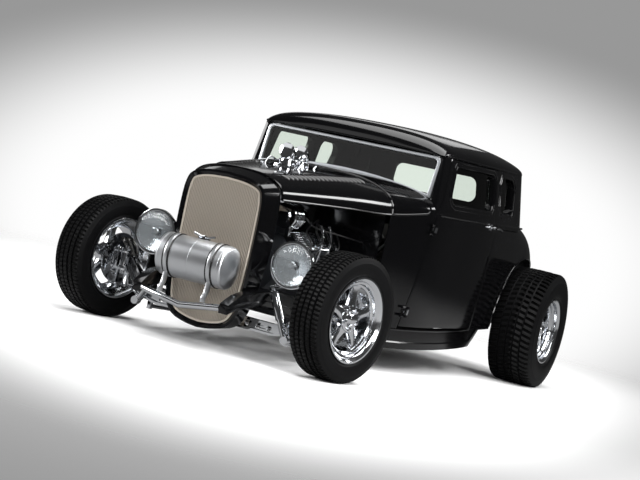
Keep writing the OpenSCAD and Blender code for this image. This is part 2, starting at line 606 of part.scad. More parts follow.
// Door hinges: pins on a line just outside the front edge
hinge_out = 17;
hinge_pin_r = 6;
hinge_r = 11;
hinge_len = 60;
hinge_heights = [300, 760];
function hinge_at(z) = [side_x(door_front(z), z) + hinge_out, door_front(z) - panel_gap / 2, z];
hinge_a = hinge_at(hinge_heights[0]);
hinge_b = hinge_at(hinge_heights[1]);
hinge_dir = unit(hinge_b - hinge_a);
module on_hinge(p) { translate(p) rotate([0, acos(hinge_dir[2]), atan2(hinge_dir[1], hinge_dir[0])])
    rotate([0, 0, -atan2(hinge_dir[1], hinge_dir[0])]) children(); }
module hinge_pillar_half() {
    for (p = [hinge_a, hinge_b]) on_hinge(p) {
        cylinder(r = hinge_pin_r, h = hinge_len, center = true);
        for (s = [-1, 1]) translate([0, 0, s * (hinge_len / 2 - 7.5)]) {
            cylinder(r = hinge_r, h = 15, center = true);
            translate([-16, -26, 0]) cube([30, 40, 15], center = true);
        }
    }
}
module hinge_door_half() {
    for (p = [hinge_a, hinge_b]) on_hinge(p) difference() {
        union() {
            cylinder(r = hinge_r, h = 29, center = true);
            translate([-15, 26, 0]) cube([28, 40, 29], center = true);
        }
        cylinder(r = hinge_pin_r + run_gap, h = 60, center = true);
    }
}

handle_at = [door_rear_y - 70, 822];
module door() {
    difference() {
        intersection() {
            side_wall(1000, door_rear_y + 20, 9);
            side_prism(door_outline, 500);
        }
        side_prism(door_window, 500);
    }
    hinge_door_half();
    translate([side_x(handle_at[0], handle_at[1]) - 4, handle_at[0], handle_at[1]]) rotate([0, 90, 0]) {
        cylinder(r = 16, h = 10);
        cylinder(r = 7, h = 44);
        translate([0, 0, 38]) rotate([-90, 0, 0]) cylinder(r = 7, h = 100);
    }
}
module door_left() color("black") raked() door();
module door_right() color("black") raked() mirror([1, 0, 0]) door();

// Glass sits in the middle of the wall
module wall_glass(from, to, n) {
    skin([for (y = steps(from, to, n)) concat([for (z = [880, 1000, 1150]) [side_x(y, z) - wall_t / 2, y, z]],
        [for (z = [1150, 1000, 880]) [side_x(y, z) - wall_t / 2 - glass_t, y, z]])], paired = true);
}
module door_glass() { intersection() { wall_glass(1240, door_rear_y - 22, 5); side_prism(door_window_glass,
    500); } }
module door_glass_left() color("lightgreen") raked() door_glass();
module door_glass_right() color("lightgreen") raked() mirror([1, 0, 0]) door_glass();

// Hood and cowl: [station, half width, shoulder height, crown height]
hood_rows = [[-46, 256, 773, 888], [200, 305, 780, 912], [500, 372, 788, 942], [cowl_y, 460, 796, 967],
    [1110, 590, belt_z, 976], [1180, 604, belt_z, 982]];
hood_power = 2.6;
function hood_x(y) = y <= cowl_y ? curve(y, column(hood_rows, 1)) : plan_x(y);
function hood_arch(y, inset, drop) = let (x = hood_x(y) - inset, s = curve(y, column(hood_rows, 2)),
    t = curve(y, column(hood_rows, 3)) - drop, half = [for (a = arch(hood_power, 12)) [a[0] * x,
        s + a[1] * (t - s)]])
    concat(half, [for (i = [len(half) - 2 : -1 : 0]) [-half[i][0], half[i][1]]]);
hood_front = grille_y + shell_depth + seat_gap;
hood_rear = cowl_y - seat_gap;
carb_hole = [96, 330, 700];
louvre_count = 19;
louvre_rows = [90, 750];
louvre_share = 0.62;
louvre_w = 92;
louvre_h = 8;
louvre_l = 20;
// Pressed louvre: a wedge that rises to the rear, lying along the hood's curve
module louvre(y) {
    a = [for (u = [-0.02, 0.02]) let (q = 90 * (louvre_share + u), t = curve(y, column(hood_rows, 3)),
        s = curve(y, column(hood_rows, 2))) [hood_x(y) * pow(cos(q), 2 / hood_power),
            s + (t - s) * pow(sin(q), 2 / hood_power)]];
    m = (a[0] + a[1]) / 2;
    d = a[1] - a[0];
    translate([m[0], y, m[1]]) rotate([0, -atan2(d[1], d[0]), 0]) rotate([90, 0, 90])
        linear_extrude(height = louvre_w, center = true)
            polygon([[-louvre_l / 2, 1 - skin_t], [louvre_l / 2, 1 - skin_t],
            [louvre_l / 2, louvre_h], [-louvre_l / 2, 0]]);
}
module hood_top() color("black") raked() {
    hood_skin();
    both_sides() for (y = steps(louvre_rows[0], louvre_rows[1], louvre_count - 1)) louvre(y);
}
module hood_skin() difference() {
    skin([for (y = steps(hood_front, hood_rear, 6)) concat([for (p = hood_arch(y, 0, 0)) [p[0], y, p[1]]],
        [for (p = backwards(hood_arch(y, skin_t, skin_t))) [p[0], y, p[1]]])], paired = true);
    translate([-carb_hole[0], carb_hole[1], 800]) cube([2 * carb_hole[0], carb_hole[2] - carb_hole[1], 300]);
}

cowl_wall = 40;
// Cowl section from one lower edge over the top to the other
function cowl_section(y, inset, drop, foot) = let (a = hood_arch(y, inset, drop),
    tuck = plan_x(y) - side_x(y, sill_z))
    concat([[a[0][0] - tuck, foot], [a[0][0] - tuck * 0.3, 520]], a,
        [[-a[0][0] + tuck * 0.3, 520], [-a[0][0] + tuck, foot]]);
function cowl_loop(y, inset, drop, foot) = [for (p = cowl_section(y, inset, drop, foot)) [p[0], y, p[1]]];
module cowl_solid(from, to, inset, drop, foot) {
    skin([for (y = steps(from, to, 5)) cowl_loop(y, inset, drop, foot)]);
}
cowl_outline = [[cowl_y, 150], [door_front(150) - panel_gap, 150], [door_front(belt_z) - panel_gap, belt_z],
    [ws_at(-40, -ws_t / 2 - seat_gap)[0], ws_at(-40, 0)[1]], ws_at(80, -ws_t / 2 - seat_gap), [cowl_y, 1100]];
post_outline = [[door_front(belt_z - 90) - panel_gap, belt_z - 90], [door_front(belt_z) - panel_gap, belt_z],
    [ws_at(0, post_w)[0] - panel_gap, ws_foot[1]],
        [ws_at(drip_z - ws_foot[1], post_w)[0] - panel_gap, drip_z - seat_gap],
    [ws_at(drip_z - ws_foot[1], -ws_t / 2)[0], drip_z - seat_gap], [ws_at(-70, -ws_t / 2)[0], belt_z - 90]];
module cowl() color("black") raked() {
    intersection() {
        difference() {
            cowl_solid(cowl_y, 1180, 0, 0, sill_z);
            cowl_solid(cowl_y - 10, 1200, cowl_wall, 10, sill_z - 60);
        }
        translate([-800, 0, 0]) side_prism(cowl_outline, 800);
    }
    both_sides() {
        difference() {
            intersection() { side_wall(1040, 1260, 4); side_prism(post_outline, 500); }
            translate([0, 1100, 900]) cube([2 * (ws_half + 8), 600, 700], center = true);
        }
        hinge_pillar_half();
    }
}
module firewall() color("black") raked() difference() {
    intersection() {
        cowl_solid(cowl_y - 10, 1200, cowl_wall + seat_gap, 10 + seat_gap, 226);
        translate([0, cowl_y + 8, 600]) cube([1400, 8, 900], center = true);
    }
    translate([0, cowl_y, crank_z]) rotate([90, 0, 0]) cylinder(r = 200, h = 100, center = true);
    translate([-300, cowl_y - 50, 100]) cube([600, 100, 190]);
}
module dashboard() color("black") raked() intersection() {
    cowl_solid(cowl_y - 10, 1200, cowl_wall + seat_gap, 10 + seat_gap, 226);
    translate([0, 1078, 860]) cube([1400, 24, 240], center = true);
}

// Floor pan with a tunnel over the gearbox and drive shaft: [station, tunnel half width, tunnel height]
tunnel = [[cowl_y + 14, 214, 548], [1040, 170, 500], [1420, 100, 400], [aft(-302), 90, 366]];
floor_t = 10;
floor_z = sill_z;
function floor_half(y) = min(side_x(y, sill_z) - wall_t - 12, y > aft(-692) ? rail_x(y) - rail_w - 4 : 1000);
function floor_line(y, d) = let (w = curve(y, column(tunnel, 1)) + d, h = curve(y, column(tunnel, 2)) + d,
    f = floor_half(y))
    [[-f, floor_z + d], [-w - 30, floor_z + d], [-w, floor_z + 60 + d], [-w * 0.7, h], [w * 0.7, h],
        [w, floor_z + 60 + d],
        [w + 30, floor_z + d], [f, floor_z + d]];
trunk_z = axle_z + 153;
kick_y = aft(-300);
module floor_pan() color("dimgray") raked() {
    skin([for (y = [cowl_y + 16, 1040, 1230, 1420, over_door(0.982), aft(-592), kick_y])
        concat([for (p = floor_line(y, 0)) [p[0], y, p[1]]],
        [for (p = backwards(floor_line(y, floor_t))) [p[0], y, p[1]]])], paired = true);
    difference() {
        translate([-500, kick_y - 1, floor_z]) cube([1000, 10, trunk_z + floor_t - floor_z]);
        translate([-78, kick_y - 10, 0]) cube([156, 40, 356]);
    }
    translate([0, 0, trunk_z]) linear_extrude(height = floor_t)
        polygon([[-560, kick_y], [560, kick_y], [560, aft(108)], [400, aft(428)], [-400, aft(428)],
            [-560, aft(108)]]);
}

tail_end = tail_y - 6;
tail_foot = 320;
// Lower body behind the doors: [station, lower edge, top, squareness of the section]
rear_rows = [[door_rear_y, sill_z, belt_z, 24], [aft(-442), sill_z, belt_z + 6, 20],
    [cabin_rear_y, 212, belt_z + 22, 12],
    [aft(-2), 226, belt_z + 8, 9], [aft(138), 238, belt_z - 28, 7], [aft(268), 254, belt_z - 88, 5.6],
    [aft(408), 276, belt_z - 188, 4.6], [aft(498), 296, belt_z - 288, 4], [aft(548), 310, belt_z - 370, 3.6],
    [tail_end, tail_foot, belt_z - 430, 3.6]];
side_stations = [for (d = [-612, -442, -312, -222]) aft(d)];
deck_stations = [for (d = [-72, -2, 68, 138, 208, 268, 338, 408, 458, 498]) aft(d)];
rear_stations = concat([door_rear_y], side_stations, [cabin_rear_y], deck_stations,
    [aft(528), aft(548), tail_y - 14, tail_end]);
sill_lip = 3;
function rear_half(y, inset, drop) = let (b = curve(y, column(rear_rows, 1)) + sill_lip,
    t = curve(y, column(rear_rows, 2)) - drop, w = plan_x(y) - inset)
    [for (a = boxy_arch(curve(y, column(rear_rows, 3)))) let (z = b + a[1] * (t - b),
        tuck = side_tuck * pow(max(0, belt_z - z) / (belt_z - sill_z), 2)) [a[0] * (w - tuck), z]];
function rear_loop(y, inset, drop, low) = let (h = rear_half(y, inset, drop))
    [for (p = concat([[h[0][0], h[0][1] - low]], h, [for (i = [len(h) - 2 : -1 : 0]) [-h[i][0], h[i][1]]],
        [[-h[0][0], h[0][1] - low]])) [p[0], y, p[1]]];
deck_t = 22;
deck_front = cabin_rear_y;
module rear_solid() { skin([for (y = rear_stations) rear_loop(y, 0, 0, sill_lip)]); }
module rear_inside() {
    skin([for (y = concat([deck_front + 10], deck_stations, [aft(523)])) rear_loop(y, wall_t, deck_t, 200)]);
    skin([for (y = concat([door_rear_y - 20], side_stations, [deck_front + 11]))
        let (x = plan_x(y) - wall_t) [for (p = [[x - side_tuck, 0], [x - side_tuck * 0.3, 480], [x, belt_z],
            [x, 1100],
            [-x, 1100], [-x, belt_z], [-x + side_tuck * 0.3, 480], [-x + side_tuck, 0]]) [p[0], y, p[1]]]]);
}
module rear_shell() { difference() { rear_solid(); rear_inside(); } }
seam_x = 500;
arch_r = rear_tyre_r + 48;
tub_x = 572;
tub_t = 11;
tub_lap = 12;
tub_depth = 50;
tub_rise = 53;
module quarter_panels() color("black") raked() both_sides() {
    difference() {
        intersection() { rear_shell(); translate([seam_x, door_rear_y + panel_gap, 0])
            cube([400, 2000, 1200]); }
        translate([tub_x, rear_axle_body[0], axle_z]) rotate([0, 90, 0]) cylinder(r = arch_r, h = 230);
    }
    intersection() {
        rear_solid();
        translate([tub_x, rear_axle_body[0], axle_z]) rotate([0, 90, 0]) difference() {
            cylinder(r = arch_r + tub_lap, h = tub_depth);
            translate([0, 0, tub_t]) cylinder(r = arch_r, h = 100);
        }
        translate([tub_x - 10, rear_axle_body[0] - 2 * arch_r, axle_z + tub_rise])
            cube([100, 4 * arch_r, 2 * arch_r]);
    }
}
// Deck lid outline seen from above, as half widths
lid_front = aft(-70);
lid_rear = aft(428);
function lid_outline(d) = rounded([[-440 + d, lid_front + d, 50], [440 - d, lid_front + d, 50],
    [370 - d, lid_rear - d, 80], [-370 + d, lid_rear - d, 80]]);
module lid_prism(d) { translate([0, 0, 420]) linear_extrude(height = 700) polygon(lid_outline(d)); }
lid_hinge = [lid_front - 2, curve(lid_front, column(rear_rows, 2)) + 10];
module lid_hinge_at(x) { translate([x, lid_hinge[0], lid_hinge[1]]) rotate([0, 90, 0]) children(); }
module tail_panel() color("black") raked() {
    difference() {
        intersection() {
            rear_shell();
            translate([0, deck_front + 1000, 500]) cube([2 * (seam_x - seat_gap), 2000, 1400], center = true);
        }
        lid_prism(0);
    }
    for (x = [-300, 300]) {
        lid_hinge_at(x) cylinder(r = 4, h = 60, center = true);
        for (s = [-1, 1]) lid_hinge_at(x + s * 27) cylinder(r = 8, h = 16, center = true);
        for (s = [-1, 1]) translate([x + s * 27 - 7, lid_front - 44, lid_hinge[1] - 15]) cube([14, 41, 13]);
    }
}
module deck_lid() color("black") raked() {
    intersection() {
        difference() {
            rear_solid();
            skin([for (y = concat([deck_front + 10], deck_stations)) rear_loop(y, wall_t, deck_t, 200)]);
        }
        lid_prism(panel_gap);
    }
    for (x = [-300, 300]) difference() {
        union() {
            lid_hinge_at(x) cylinder(r = 8, h = 36, center = true);
            translate([x - 18, lid_front + 4, lid_hinge[1] - 14]) cube([36, 40, 14]);
        }
        lid_hinge_at(x) cylinder(r = 4 + run_gap, h = 90, center = true);
    }
}

// Upper body: the wall that wraps round the cabin from one door to the other, with its windows
function back_y(z) = cabin_rear_y + 24 - 40 * (z - belt_z) / (drip_z - belt_z);
function upper_half(z, inset) = let (b = back_y(z) - inset) concat(
    [for (y = [door_rear_y + panel_gap, aft(-582)]) [side_x(y, max(z, belt_z + tiny)) - inset, y]],
    [for (a = arch(4, 8)) [a[0] * (side_x(corner_y, max(z, belt_z + tiny)) - inset),
        corner_y + a[1] * (b - corner_y)]]);
function upper_loop(z, inset) = let (h = upper_half(z, inset))
    concat(h, [for (i = [len(h) - 2 : -1 : 0]) [-h[i][0], h[i][1]]]);
function quarter_opening(d) = rounded([[aft(-704) + d, 914 + d, 44], [aft(-704) + d, 1120 - d, 44],
    [aft(-430) - d, 1116 - d, 60], [aft(-472) - d, 914 + d, 44]]);
function back_opening(d) = rounded([[-300 + d, 936 + d, 50], [300 - d, 936 + d, 50], [280 - d, 1092 - d, 50],
    [-280 + d, 1092 - d, 50]]);
upper_low = belt_z - 60;
module upper_shell(inset, t) {
    skin([for (z = [upper_low, 960, 1060, drip_z - seat_gap])
        concat([for (p = upper_loop(z, inset + t)) [p[0], p[1], z]],
            [for (p = backwards(upper_loop(z, inset))) [p[0], p[1], z]])], paired = true);
}
module upper_body() color("black") raked() difference() {
    upper_shell(0, wall_t);
    both_sides() translate([0, 0, seat_gap]) rear_solid();
    translate([-700, 0, 0]) side_prism(quarter_opening(0), 700);
    translate([0, cabin_rear_y, 0]) along_y(300) polygon(back_opening(0));
}
module fixed_glass() color("lightgreen") raked() {
    both_sides() intersection() { wall_glass(aft(-732), corner_y, 4); side_prism(quarter_opening(seat_gap),
        500); }
    back_lean = atan2(back_y(belt_z) - back_y(drip_z), drip_z - belt_z);
    translate([0, back_y(1000) - wall_t / 2, 1000]) rotate([90 + back_lean, 0, 0])
        linear_extrude(height = glass_t, center = true) translate([0, -1000]) polygon(back_opening(seat_gap));
    windshield(ws_rim + seat_gap, glass_t);
}

// Windshield pane and frame, standing in its own leaning plane
function ws_outline(d) = concat([for (u = steps(-1, 1, 10)) [u * (ws_half - d), ws_arch * (1 - u * u) + d]],
    [for (p = rounded([[ws_half - d, 0, 1], [ws_half + 4 - d, ws_h - d, 26], [-ws_half - 4 + d, ws_h - d, 26],
        [-ws_half + d, 0, 1]])) if (p[1] > 10) p]);
module windshield(inset, t) {
    translate([0, ws_foot[0], ws_foot[1]]) rotate([90 - ws_lean, 0, 0])
        linear_extrude(height = t, center = true) polygon(ws_outline(inset));
}
module windshield_frame() color("silver") raked() difference() {
    windshield(seat_gap, ws_t);
    windshield(ws_rim, 3 * ws_t);
}

roof_end = cabin_rear_y - 20;
// Roof: [station, crown above the drip rail]
roof_rows = [[1158, 6], [1170, 44], [1188, 72], [1216, 95], [visor_y, 108], [over_door(0.291), 123],
    [over_door(0.752), 132], [aft(-642), 131], [aft(-442), 121], [aft(-292), 94], [aft(-222), 66],
        [aft(-180), 38],
    [roof_end, 10]];
roof_power = 2.4;
roof_stations = [for (r = roof_rows) r[0]];
roof_back = back_y(drip_z);
function roof_x(y) = let (x = side_x(min(max(y, 1150), corner_y), drip_z))
    y <= corner_y ? x : x * pow(max(0, 1 - pow((y - corner_y) / (roof_back - corner_y + 8), 4)), 1 / 4);
function roof_loop(y, inset, low) = let (x = roof_x(y) - inset, h = max(3, curve(y, roof_rows) - inset),
    half = [for (a = arch(roof_power, 8)) [a[0] * x, drip_z + a[1] * h]])
    [for (p = concat([[x, drip_z - low]], half, [for (i = [len(half) - 2 : -1 : 0]) [-half[i][0],
        half[i][1]]],
        [[-x, drip_z - low]])) [p[0], y, p[1]]];
module roof() color("black") raked() difference() {
    skin([for (y = roof_stations) roof_loop(y, 0, tiny)]);
    skin([for (y = concat([1200], [for (k = [3 : 9]) roof_rows[k][0]], [aft(-212)]))
        roof_loop(y, roof_t + 10, 60)]);
}

// Bench seat, steering column and wheel
seat_room = 135;
seat_half = plan_x(aft(-1052)) - seat_room;
seat_z = floor_z + 200;
seat_front = aft(-1052);
seat_depth = 520;
back_drop = 1.2;
module seat() color("saddlebrown") raked() {
    translate([-seat_half, seat_front, seat_z]) cube([2 * seat_half, seat_depth, 140]);
    translate([-seat_half, seat_front + seat_depth + 4, seat_z - back_drop]) rotate([-12, 0, 0])
        cube([2 * seat_half, 110, 480]);
    both_sides() translate([200, seat_front + 60, floor_z + floor_t + seat_gap])
        cube([260, seat_depth - 80, seat_z - floor_z - floor_t + 2]);
}
wheel_at = [300, 1470, 735];
column_foot = [300, 866, 480];
column_dir = unit(wheel_at - column_foot);
steer_rim_r = 185;
module steering_column() color("silver") raked() {
    bar(column_foot, wheel_at - column_dir * (18.8 + seat_gap), 19);
    translate([column_foot[0], cowl_y + 12 + seat_gap, column_foot[2]]) rotate([-90, 0, 0])
        cylinder(r = 40, h = column_foot[1] - cowl_y);
}
module steering_wheel() color("black") raked() translate(wheel_at)
    rotate([0, acos(column_dir[2]), atan2(column_dir[1], column_dir[0])]) {
        rotate_extrude($fn = 64) translate([steer_rim_r, 0]) circle(r = 13);
        translate([0, 0, -19]) cylinder(r = 40, h = 30);
        for (a = [90, 210, 330]) rotate([0, 0, a]) translate([36, -14, -4]) cube([steer_rim_r - 40, 28, 8]);
    }

// Headlamps on stalks from the frame
lamp_at = [387, -82, 483];
lamp_depth = 128;
lamp_foot = [282, -10, ground_z(-10, rail_top(6)) + seat_gap];
module headlamp_shells() color("silver") both_sides() {
    translate(lamp_at) rotate([-90, 0, 0]) rotate_extrude($fn = 96)
        polygon(concat([[lamp_r - 12, 2], [lamp_r - 12, -2], [lamp_r, -2],
        [lamp_r, 22]], [for (q = [10 : 16 : 90]) [(lamp_r - 8) * cos(q), 24 + (lamp_depth - 24) * sin(q)]],
            [[0, 20], [lamp_r - 12, 20]]));
    bar(lamp_at + [-20, 60, -95], [lamp_foot[0], lamp_foot[1], lamp_foot[2] + 14], 13);
    translate(lamp_foot) cylinder(r = 16, h = 20);
}
module headlamp_lenses() color("white") both_sides() translate(lamp_at) rotate([-90, 0, 0])
    rotate_extrude($fn = 96)
    polygon(concat([[0, 19.6], [0, -16]], [for (q = [75 : -15 : 0]) [(lamp_r - 12 - seat_gap) * cos(q),
        -16 * sin(q)]],
        [[lamp_r - 12 - seat_gap, 19.6]]));

// Tank with domed ends on two straps that stand on the front spreader bar
tank_at = [0, -284, 406];
tank_dome = 46;
tank_edge = 16;
strap_x = 118;
strap_t = 3;
strap_w = 22;
module fuel_tank() color("silver") translate(tank_at) {
    edge = [for (q = [0 : 15 : 75]) [tank_r - tank_edge * (1 - cos(q)),
        tank_barrel / 2 + tank_edge * sin(q)]];
    turned_x() polygon(concat([[0, -tank_barrel / 2 - tank_dome]], [for (e = backwards(edge)) [e[0], -e[1]]],
        edge,
        [[0, tank_barrel / 2 + tank_dome]]));
    translate([0, 14, tank_r - 6]) cylinder(r = 30, h = 18);
    translate([0, 14, tank_r + 10]) rotate([0, 90, 0]) cylinder(r = 7, h = 110, center = true);
}
spreader_world = [spreader_y * cos(rake) - spreader_z * sin(rake),
    spreader_y * sin(rake) + spreader_z * cos(rake)];
leg_front = 9;
leg_t = 13;
leg_line = smooth([[0, 0], [0, 26], [16, 56], [20, 130]], 12);
module along_leg() { rotate([90, 0, 90]) linear_extrude(height = strap_w) children(); }
module tank_straps() color("silver") both_sides() translate([strap_x, tank_at[1], tank_at[2]]) {
    rotate([0, 90, 0]) difference() {
        cylinder(r = tank_r + seat_gap + strap_t, h = strap_w, center = true, $fn = 96);
        cylinder(r = tank_r + seat_gap, h = 2 * strap_w, center = true, $fn = 96);
    }
    foot = spreader_world[1] - spreader_drop * (1 - strap_x / 216) + spreader_r + 2.4;
    difference() {
        translate([-strap_w / 2, spreader_world[0] - tank_at[1] - leg_front, foot - tank_at[2]]) along_leg()
            polygon(concat(leg_line, [for (p = backwards(leg_line)) p + [leg_t, 0]]));
        rotate([0, 90, 0]) cylinder(r = tank_r + seat_gap + 1, h = 2 * strap_w, center = true, $fn = 96);
    }
}

// Round tail lamps low on the body's tail
lamp_tail = [360, 400];
module tail_lamps() color("red") raked() both_sides() difference() {
    translate([lamp_tail[0], tail_y - 160, lamp_tail[1]]) rotate([-90, 0, 0]) cylinder(r = 48, h = 150);
    both_sides() translate([0, seat_gap, 0]) rear_solid();
}

// Tyres: [half width share, radius] outline from bead to tread for one half
function tyre_half(w, r) = [[w * 0.43, bead_r + seat_gap], [w * 0.43, rim_lip_r + 2],
    [w * 0.48, rim_lip_r + 16],
    [w * 0.5, bead_r + (r - bead_r) * 0.5], [w * 0.485, bead_r + (r - bead_r) * 0.75], [w * 0.45, r - 10],
        [w * 0.42, r - 4],
    [w * 0.36, r]];
module tyre(w, r, grooves) {
    half = tyre_half(w, r);
    turned_x() difference() {
        polygon(concat([for (p = half) [p[1], p[0]]], [for (p = backwards(half)) [p[1], -p[0]]]));
        for (g = grooves) translate([r - 8, g * w - 4]) square([20, 8]);
    }
}
front_grooves = [-0.26, -0.09, 0.09, 0.26];
rear_grooves = [-0.24, -0.08, 0.08, 0.24];
module front_wheel_place(side) { steered(side) translate([side * wheel_offset, 0, 0]) children(); }
module rear_wheel_place(side) { translate([side * rear_track / 2, wheelbase, rear_tyre_r]) children(); }
module tyre_front_left() color("#222222") front_wheel_place(1)
    tyre(front_tyre_w, front_tyre_r, front_grooves);
module tyre_front_right() color("#222222") front_wheel_place(-1)
    tyre(front_tyre_w, front_tyre_r, front_grooves);
module tyre_rear_left() color("#222222") rear_wheel_place(1) tyre(rear_tyre_w, rear_tyre_r, rear_grooves);
module tyre_rear_right() color("#222222") rear_wheel_place(-1) tyre(rear_tyre_w, rear_tyre_r, rear_grooves);

// Half a spoke's outline: [radius, half width]
barrel_r = bead_r - 36;
spoke_side = [[46, 31], [66, 25], [92, 20], [118, 18], [138, 21], [150, 28], [barrel_r + 4, 38]];
// Wheel, outboard along +x from the tyre's middle
module wheel(rim_w, tyre_w, face, bore_r, hub_from) {
    b = 0.43 * tyre_w;
    difference() {
        union() {
            turned_x() polygon([[bead_r, b - 6], [bead_r, b + seat_gap - 6], [bead_r - 2, b + seat_gap],
                [rim_lip_r, b + seat_gap],
                [rim_lip_r, rim_w / 2], [rim_lip_r - 8, rim_w / 2], [rim_lip_r - 12, rim_w / 2 - 3],
                [bead_r - 10, b - 3], [bead_r - 12, face + 40], [bead_r - 22, face + 36], [bead_r - 26, face + 22],
                [barrel_r, face + 17], [barrel_r, -b + 30], [bead_r - 12, -b + 10],
                    [rim_lip_r - 8, -rim_w / 2], [rim_lip_r, -rim_w / 2],
                [rim_lip_r, -b - seat_gap], [bead_r - 2, -b - seat_gap], [bead_r, -b + 6]]);
            translate([hub_from, 0, 0]) rotate([0, 90, 0]) cylinder(r = 62, h = face + 16 - hub_from);
            for (k = [0 : spoke_count - 1]) rotate([90 + k * 360 / spoke_count, 0, 0]) translate([face, 0, 0])
                rotate([90, 0, 90]) linear_extrude(height = 24, center = true) polygon(concat(
                    [for (p = spoke_side) [p[0], -p[1]]], backwards(spoke_side)));
            for (k = [0 : spoke_count - 1]) rotate([90 + (k + 0.5) * 360 / spoke_count, 0, 0])
                translate([face + 15, 48, 0]) rotate([0, 90, 0]) cylinder(r = 9, h = 12, $fn = 16);
        }
        translate([hub_from - 5, 0, 0]) rotate([0, 90, 0])
            cylinder(r = bore_r + run_gap, h = face + 4 - hub_from);
    }
    translate([face + 15, 0, 0]) rotate([0, 90, 0]) cylinder(r1 = 36, r2 = 24, h = 22);
}
rear_face = 60;
front_hub_from = drum_face + 8 + 5 - wheel_offset;
rear_hub_from = rear_drum_x + 5 - rear_track / 2;
module front_wheel() { wheel(front_rim_w, front_tyre_w, front_face, spindle_r, front_hub_from); }
module rear_wheel() { wheel(rear_rim_w, rear_tyre_w, rear_face, shaft_r, rear_hub_from); }
module wheel_front_left() color("silver") front_wheel_place(1) front_wheel();
module wheel_front_right() color("silver") front_wheel_place(-1) mirror([1, 0, 0]) front_wheel();
module wheel_rear_left() color("silver") rear_wheel_place(1) rear_wheel();
module wheel_rear_right() color("silver") rear_wheel_place(-1) mirror([1, 0, 0]) rear_wheel();

// Middle of the overall length, from the tank's straps to the tail, which becomes the origin
front_most = tank_at[1] - tank_r - seat_gap - strap_t;
rear_most = tail_end * cos(rake) - tail_foot * sin(rake);
origin_y = (front_most + rear_most) / 2;

place() chassis_frame();
place() spreader_bars();
place() front_axle();
place() front_spring();
place() radius_rods();
place() shock_absorbers();
place() knuckle_left();
place() knuckle_right();
place() tie_rod();
place() rear_axle();
place() rear_suspension();
place() drivetrain();
place() engine_block();
place() engine_dress();
place() intake();
place() exhaust();
place() radiator();
place() grille_shell();
place() grille_insert();
place() hood_top();
place() firewall();
place() cowl();
place() floor_pan();
place() door_left();
place() door_right();
place() quarter_panels();
place() upper_body();
place() tail_panel();
place() deck_lid();
place() roof();
place() windshield_frame();
place() fixed_glass();
place() door_glass_left();
place() door_glass_right();
place() dashboard();
place() seat();
place() steering_column();
place() steering_wheel();
place() headlamp_shells();
place() headlamp_lenses();
place() fuel_tank();
place() tank_straps();
place() tail_lamps();
place() tyre_front_left();
place() tyre_front_right();
place() tyre_rear_left();
place() tyre_rear_right();
place() wheel_front_left();
place() wheel_front_right();
place() wheel_rear_left();
place() wheel_rear_right();
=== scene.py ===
"""Looks of a chopped, fenderless black coupe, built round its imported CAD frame."""

import json
import logging
import math
from dataclasses import dataclass
from enum import Enum
from typing import Callable, Sequence

import bmesh
import bpy
from bmesh.types import BMesh, BMVert
from bpy.types import ID, Material, Mesh, Node, NodeTree, Object
from mathutils import Matrix, Vector


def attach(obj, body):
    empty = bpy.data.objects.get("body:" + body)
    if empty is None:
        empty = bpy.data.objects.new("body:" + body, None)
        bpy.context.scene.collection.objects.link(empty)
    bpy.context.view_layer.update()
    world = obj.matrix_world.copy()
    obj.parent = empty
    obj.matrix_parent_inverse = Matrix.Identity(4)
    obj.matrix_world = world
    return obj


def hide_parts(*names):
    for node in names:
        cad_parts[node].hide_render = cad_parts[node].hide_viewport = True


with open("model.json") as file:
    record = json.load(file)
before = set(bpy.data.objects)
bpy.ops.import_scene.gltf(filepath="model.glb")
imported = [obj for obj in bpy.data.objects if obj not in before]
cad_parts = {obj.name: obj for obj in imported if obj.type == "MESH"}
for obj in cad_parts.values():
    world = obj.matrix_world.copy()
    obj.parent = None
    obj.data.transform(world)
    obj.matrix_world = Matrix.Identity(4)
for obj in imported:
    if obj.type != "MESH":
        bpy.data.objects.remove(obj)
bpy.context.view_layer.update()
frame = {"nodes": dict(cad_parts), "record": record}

logging.basicConfig(level=logging.INFO, format="%(message)s")
log = logging.getLogger("coupe")

Table = tuple[tuple[float, float], ...]
Point2 = tuple[float, float]
Point3 = tuple[float, float, float]

MM = 0.001
ORIGIN_Y = 1428.27
RAKE = math.radians(2.5)
FULL_TURN = 2 * math.pi
WELD = 0.00002
SIDES = ((1, "left"), (-1, "right"))


class Slot(Enum):
    """Material slots that the record names."""

    BODY = "body_paint"
    FRAME = "frame_paint"
    BRIGHT = "bright_metal"
    WHEEL = "wheel_metal"
    SPUN = "spun_aluminium"
    DARK = "dark_metal"
    ENGINE = "engine_metal"
    EXHAUST = "exhaust_metal"
    TYRE = "tyre_rubber"
    GLASS = "window_glass"
    LAMP = "lamp_glass"
    LENS = "lamp_lens"
    SEAT = "seat_cover"
    GRIP = "wheel_grip"


@dataclass(frozen=True)
class Finish:
    """How one surface looks.

    Attributes:
        name: material name.
        colour: sRGB hex colour.
        metallic: share of metal.
        roughness: surface roughness.
        coat: clear coat weight.
        grain: height in metres of a fine bump, 0 for none.
        grain_scale: size of the bump's pattern in millimetres.
        transmission: share of light that passes through.
        spun: stretch of the highlights on a lathe-turned surface.
        flutes: pitch of a lens's upright ribs in millimetres, 0 for none.
        pane: whether the finish is a thin flat pane.
        specular: strength of the plain reflection.
    """

    name: str
    colour: str
    metallic: float = 0.0
    roughness: float = 0.5
    coat: float = 0.0
    grain: float = 0.0
    grain_scale: float = 4.0
    transmission: float = 0.0
    spun: float = 0.0
    flutes: float = 0.0
    pane: bool = False
    specular: float = 0.5


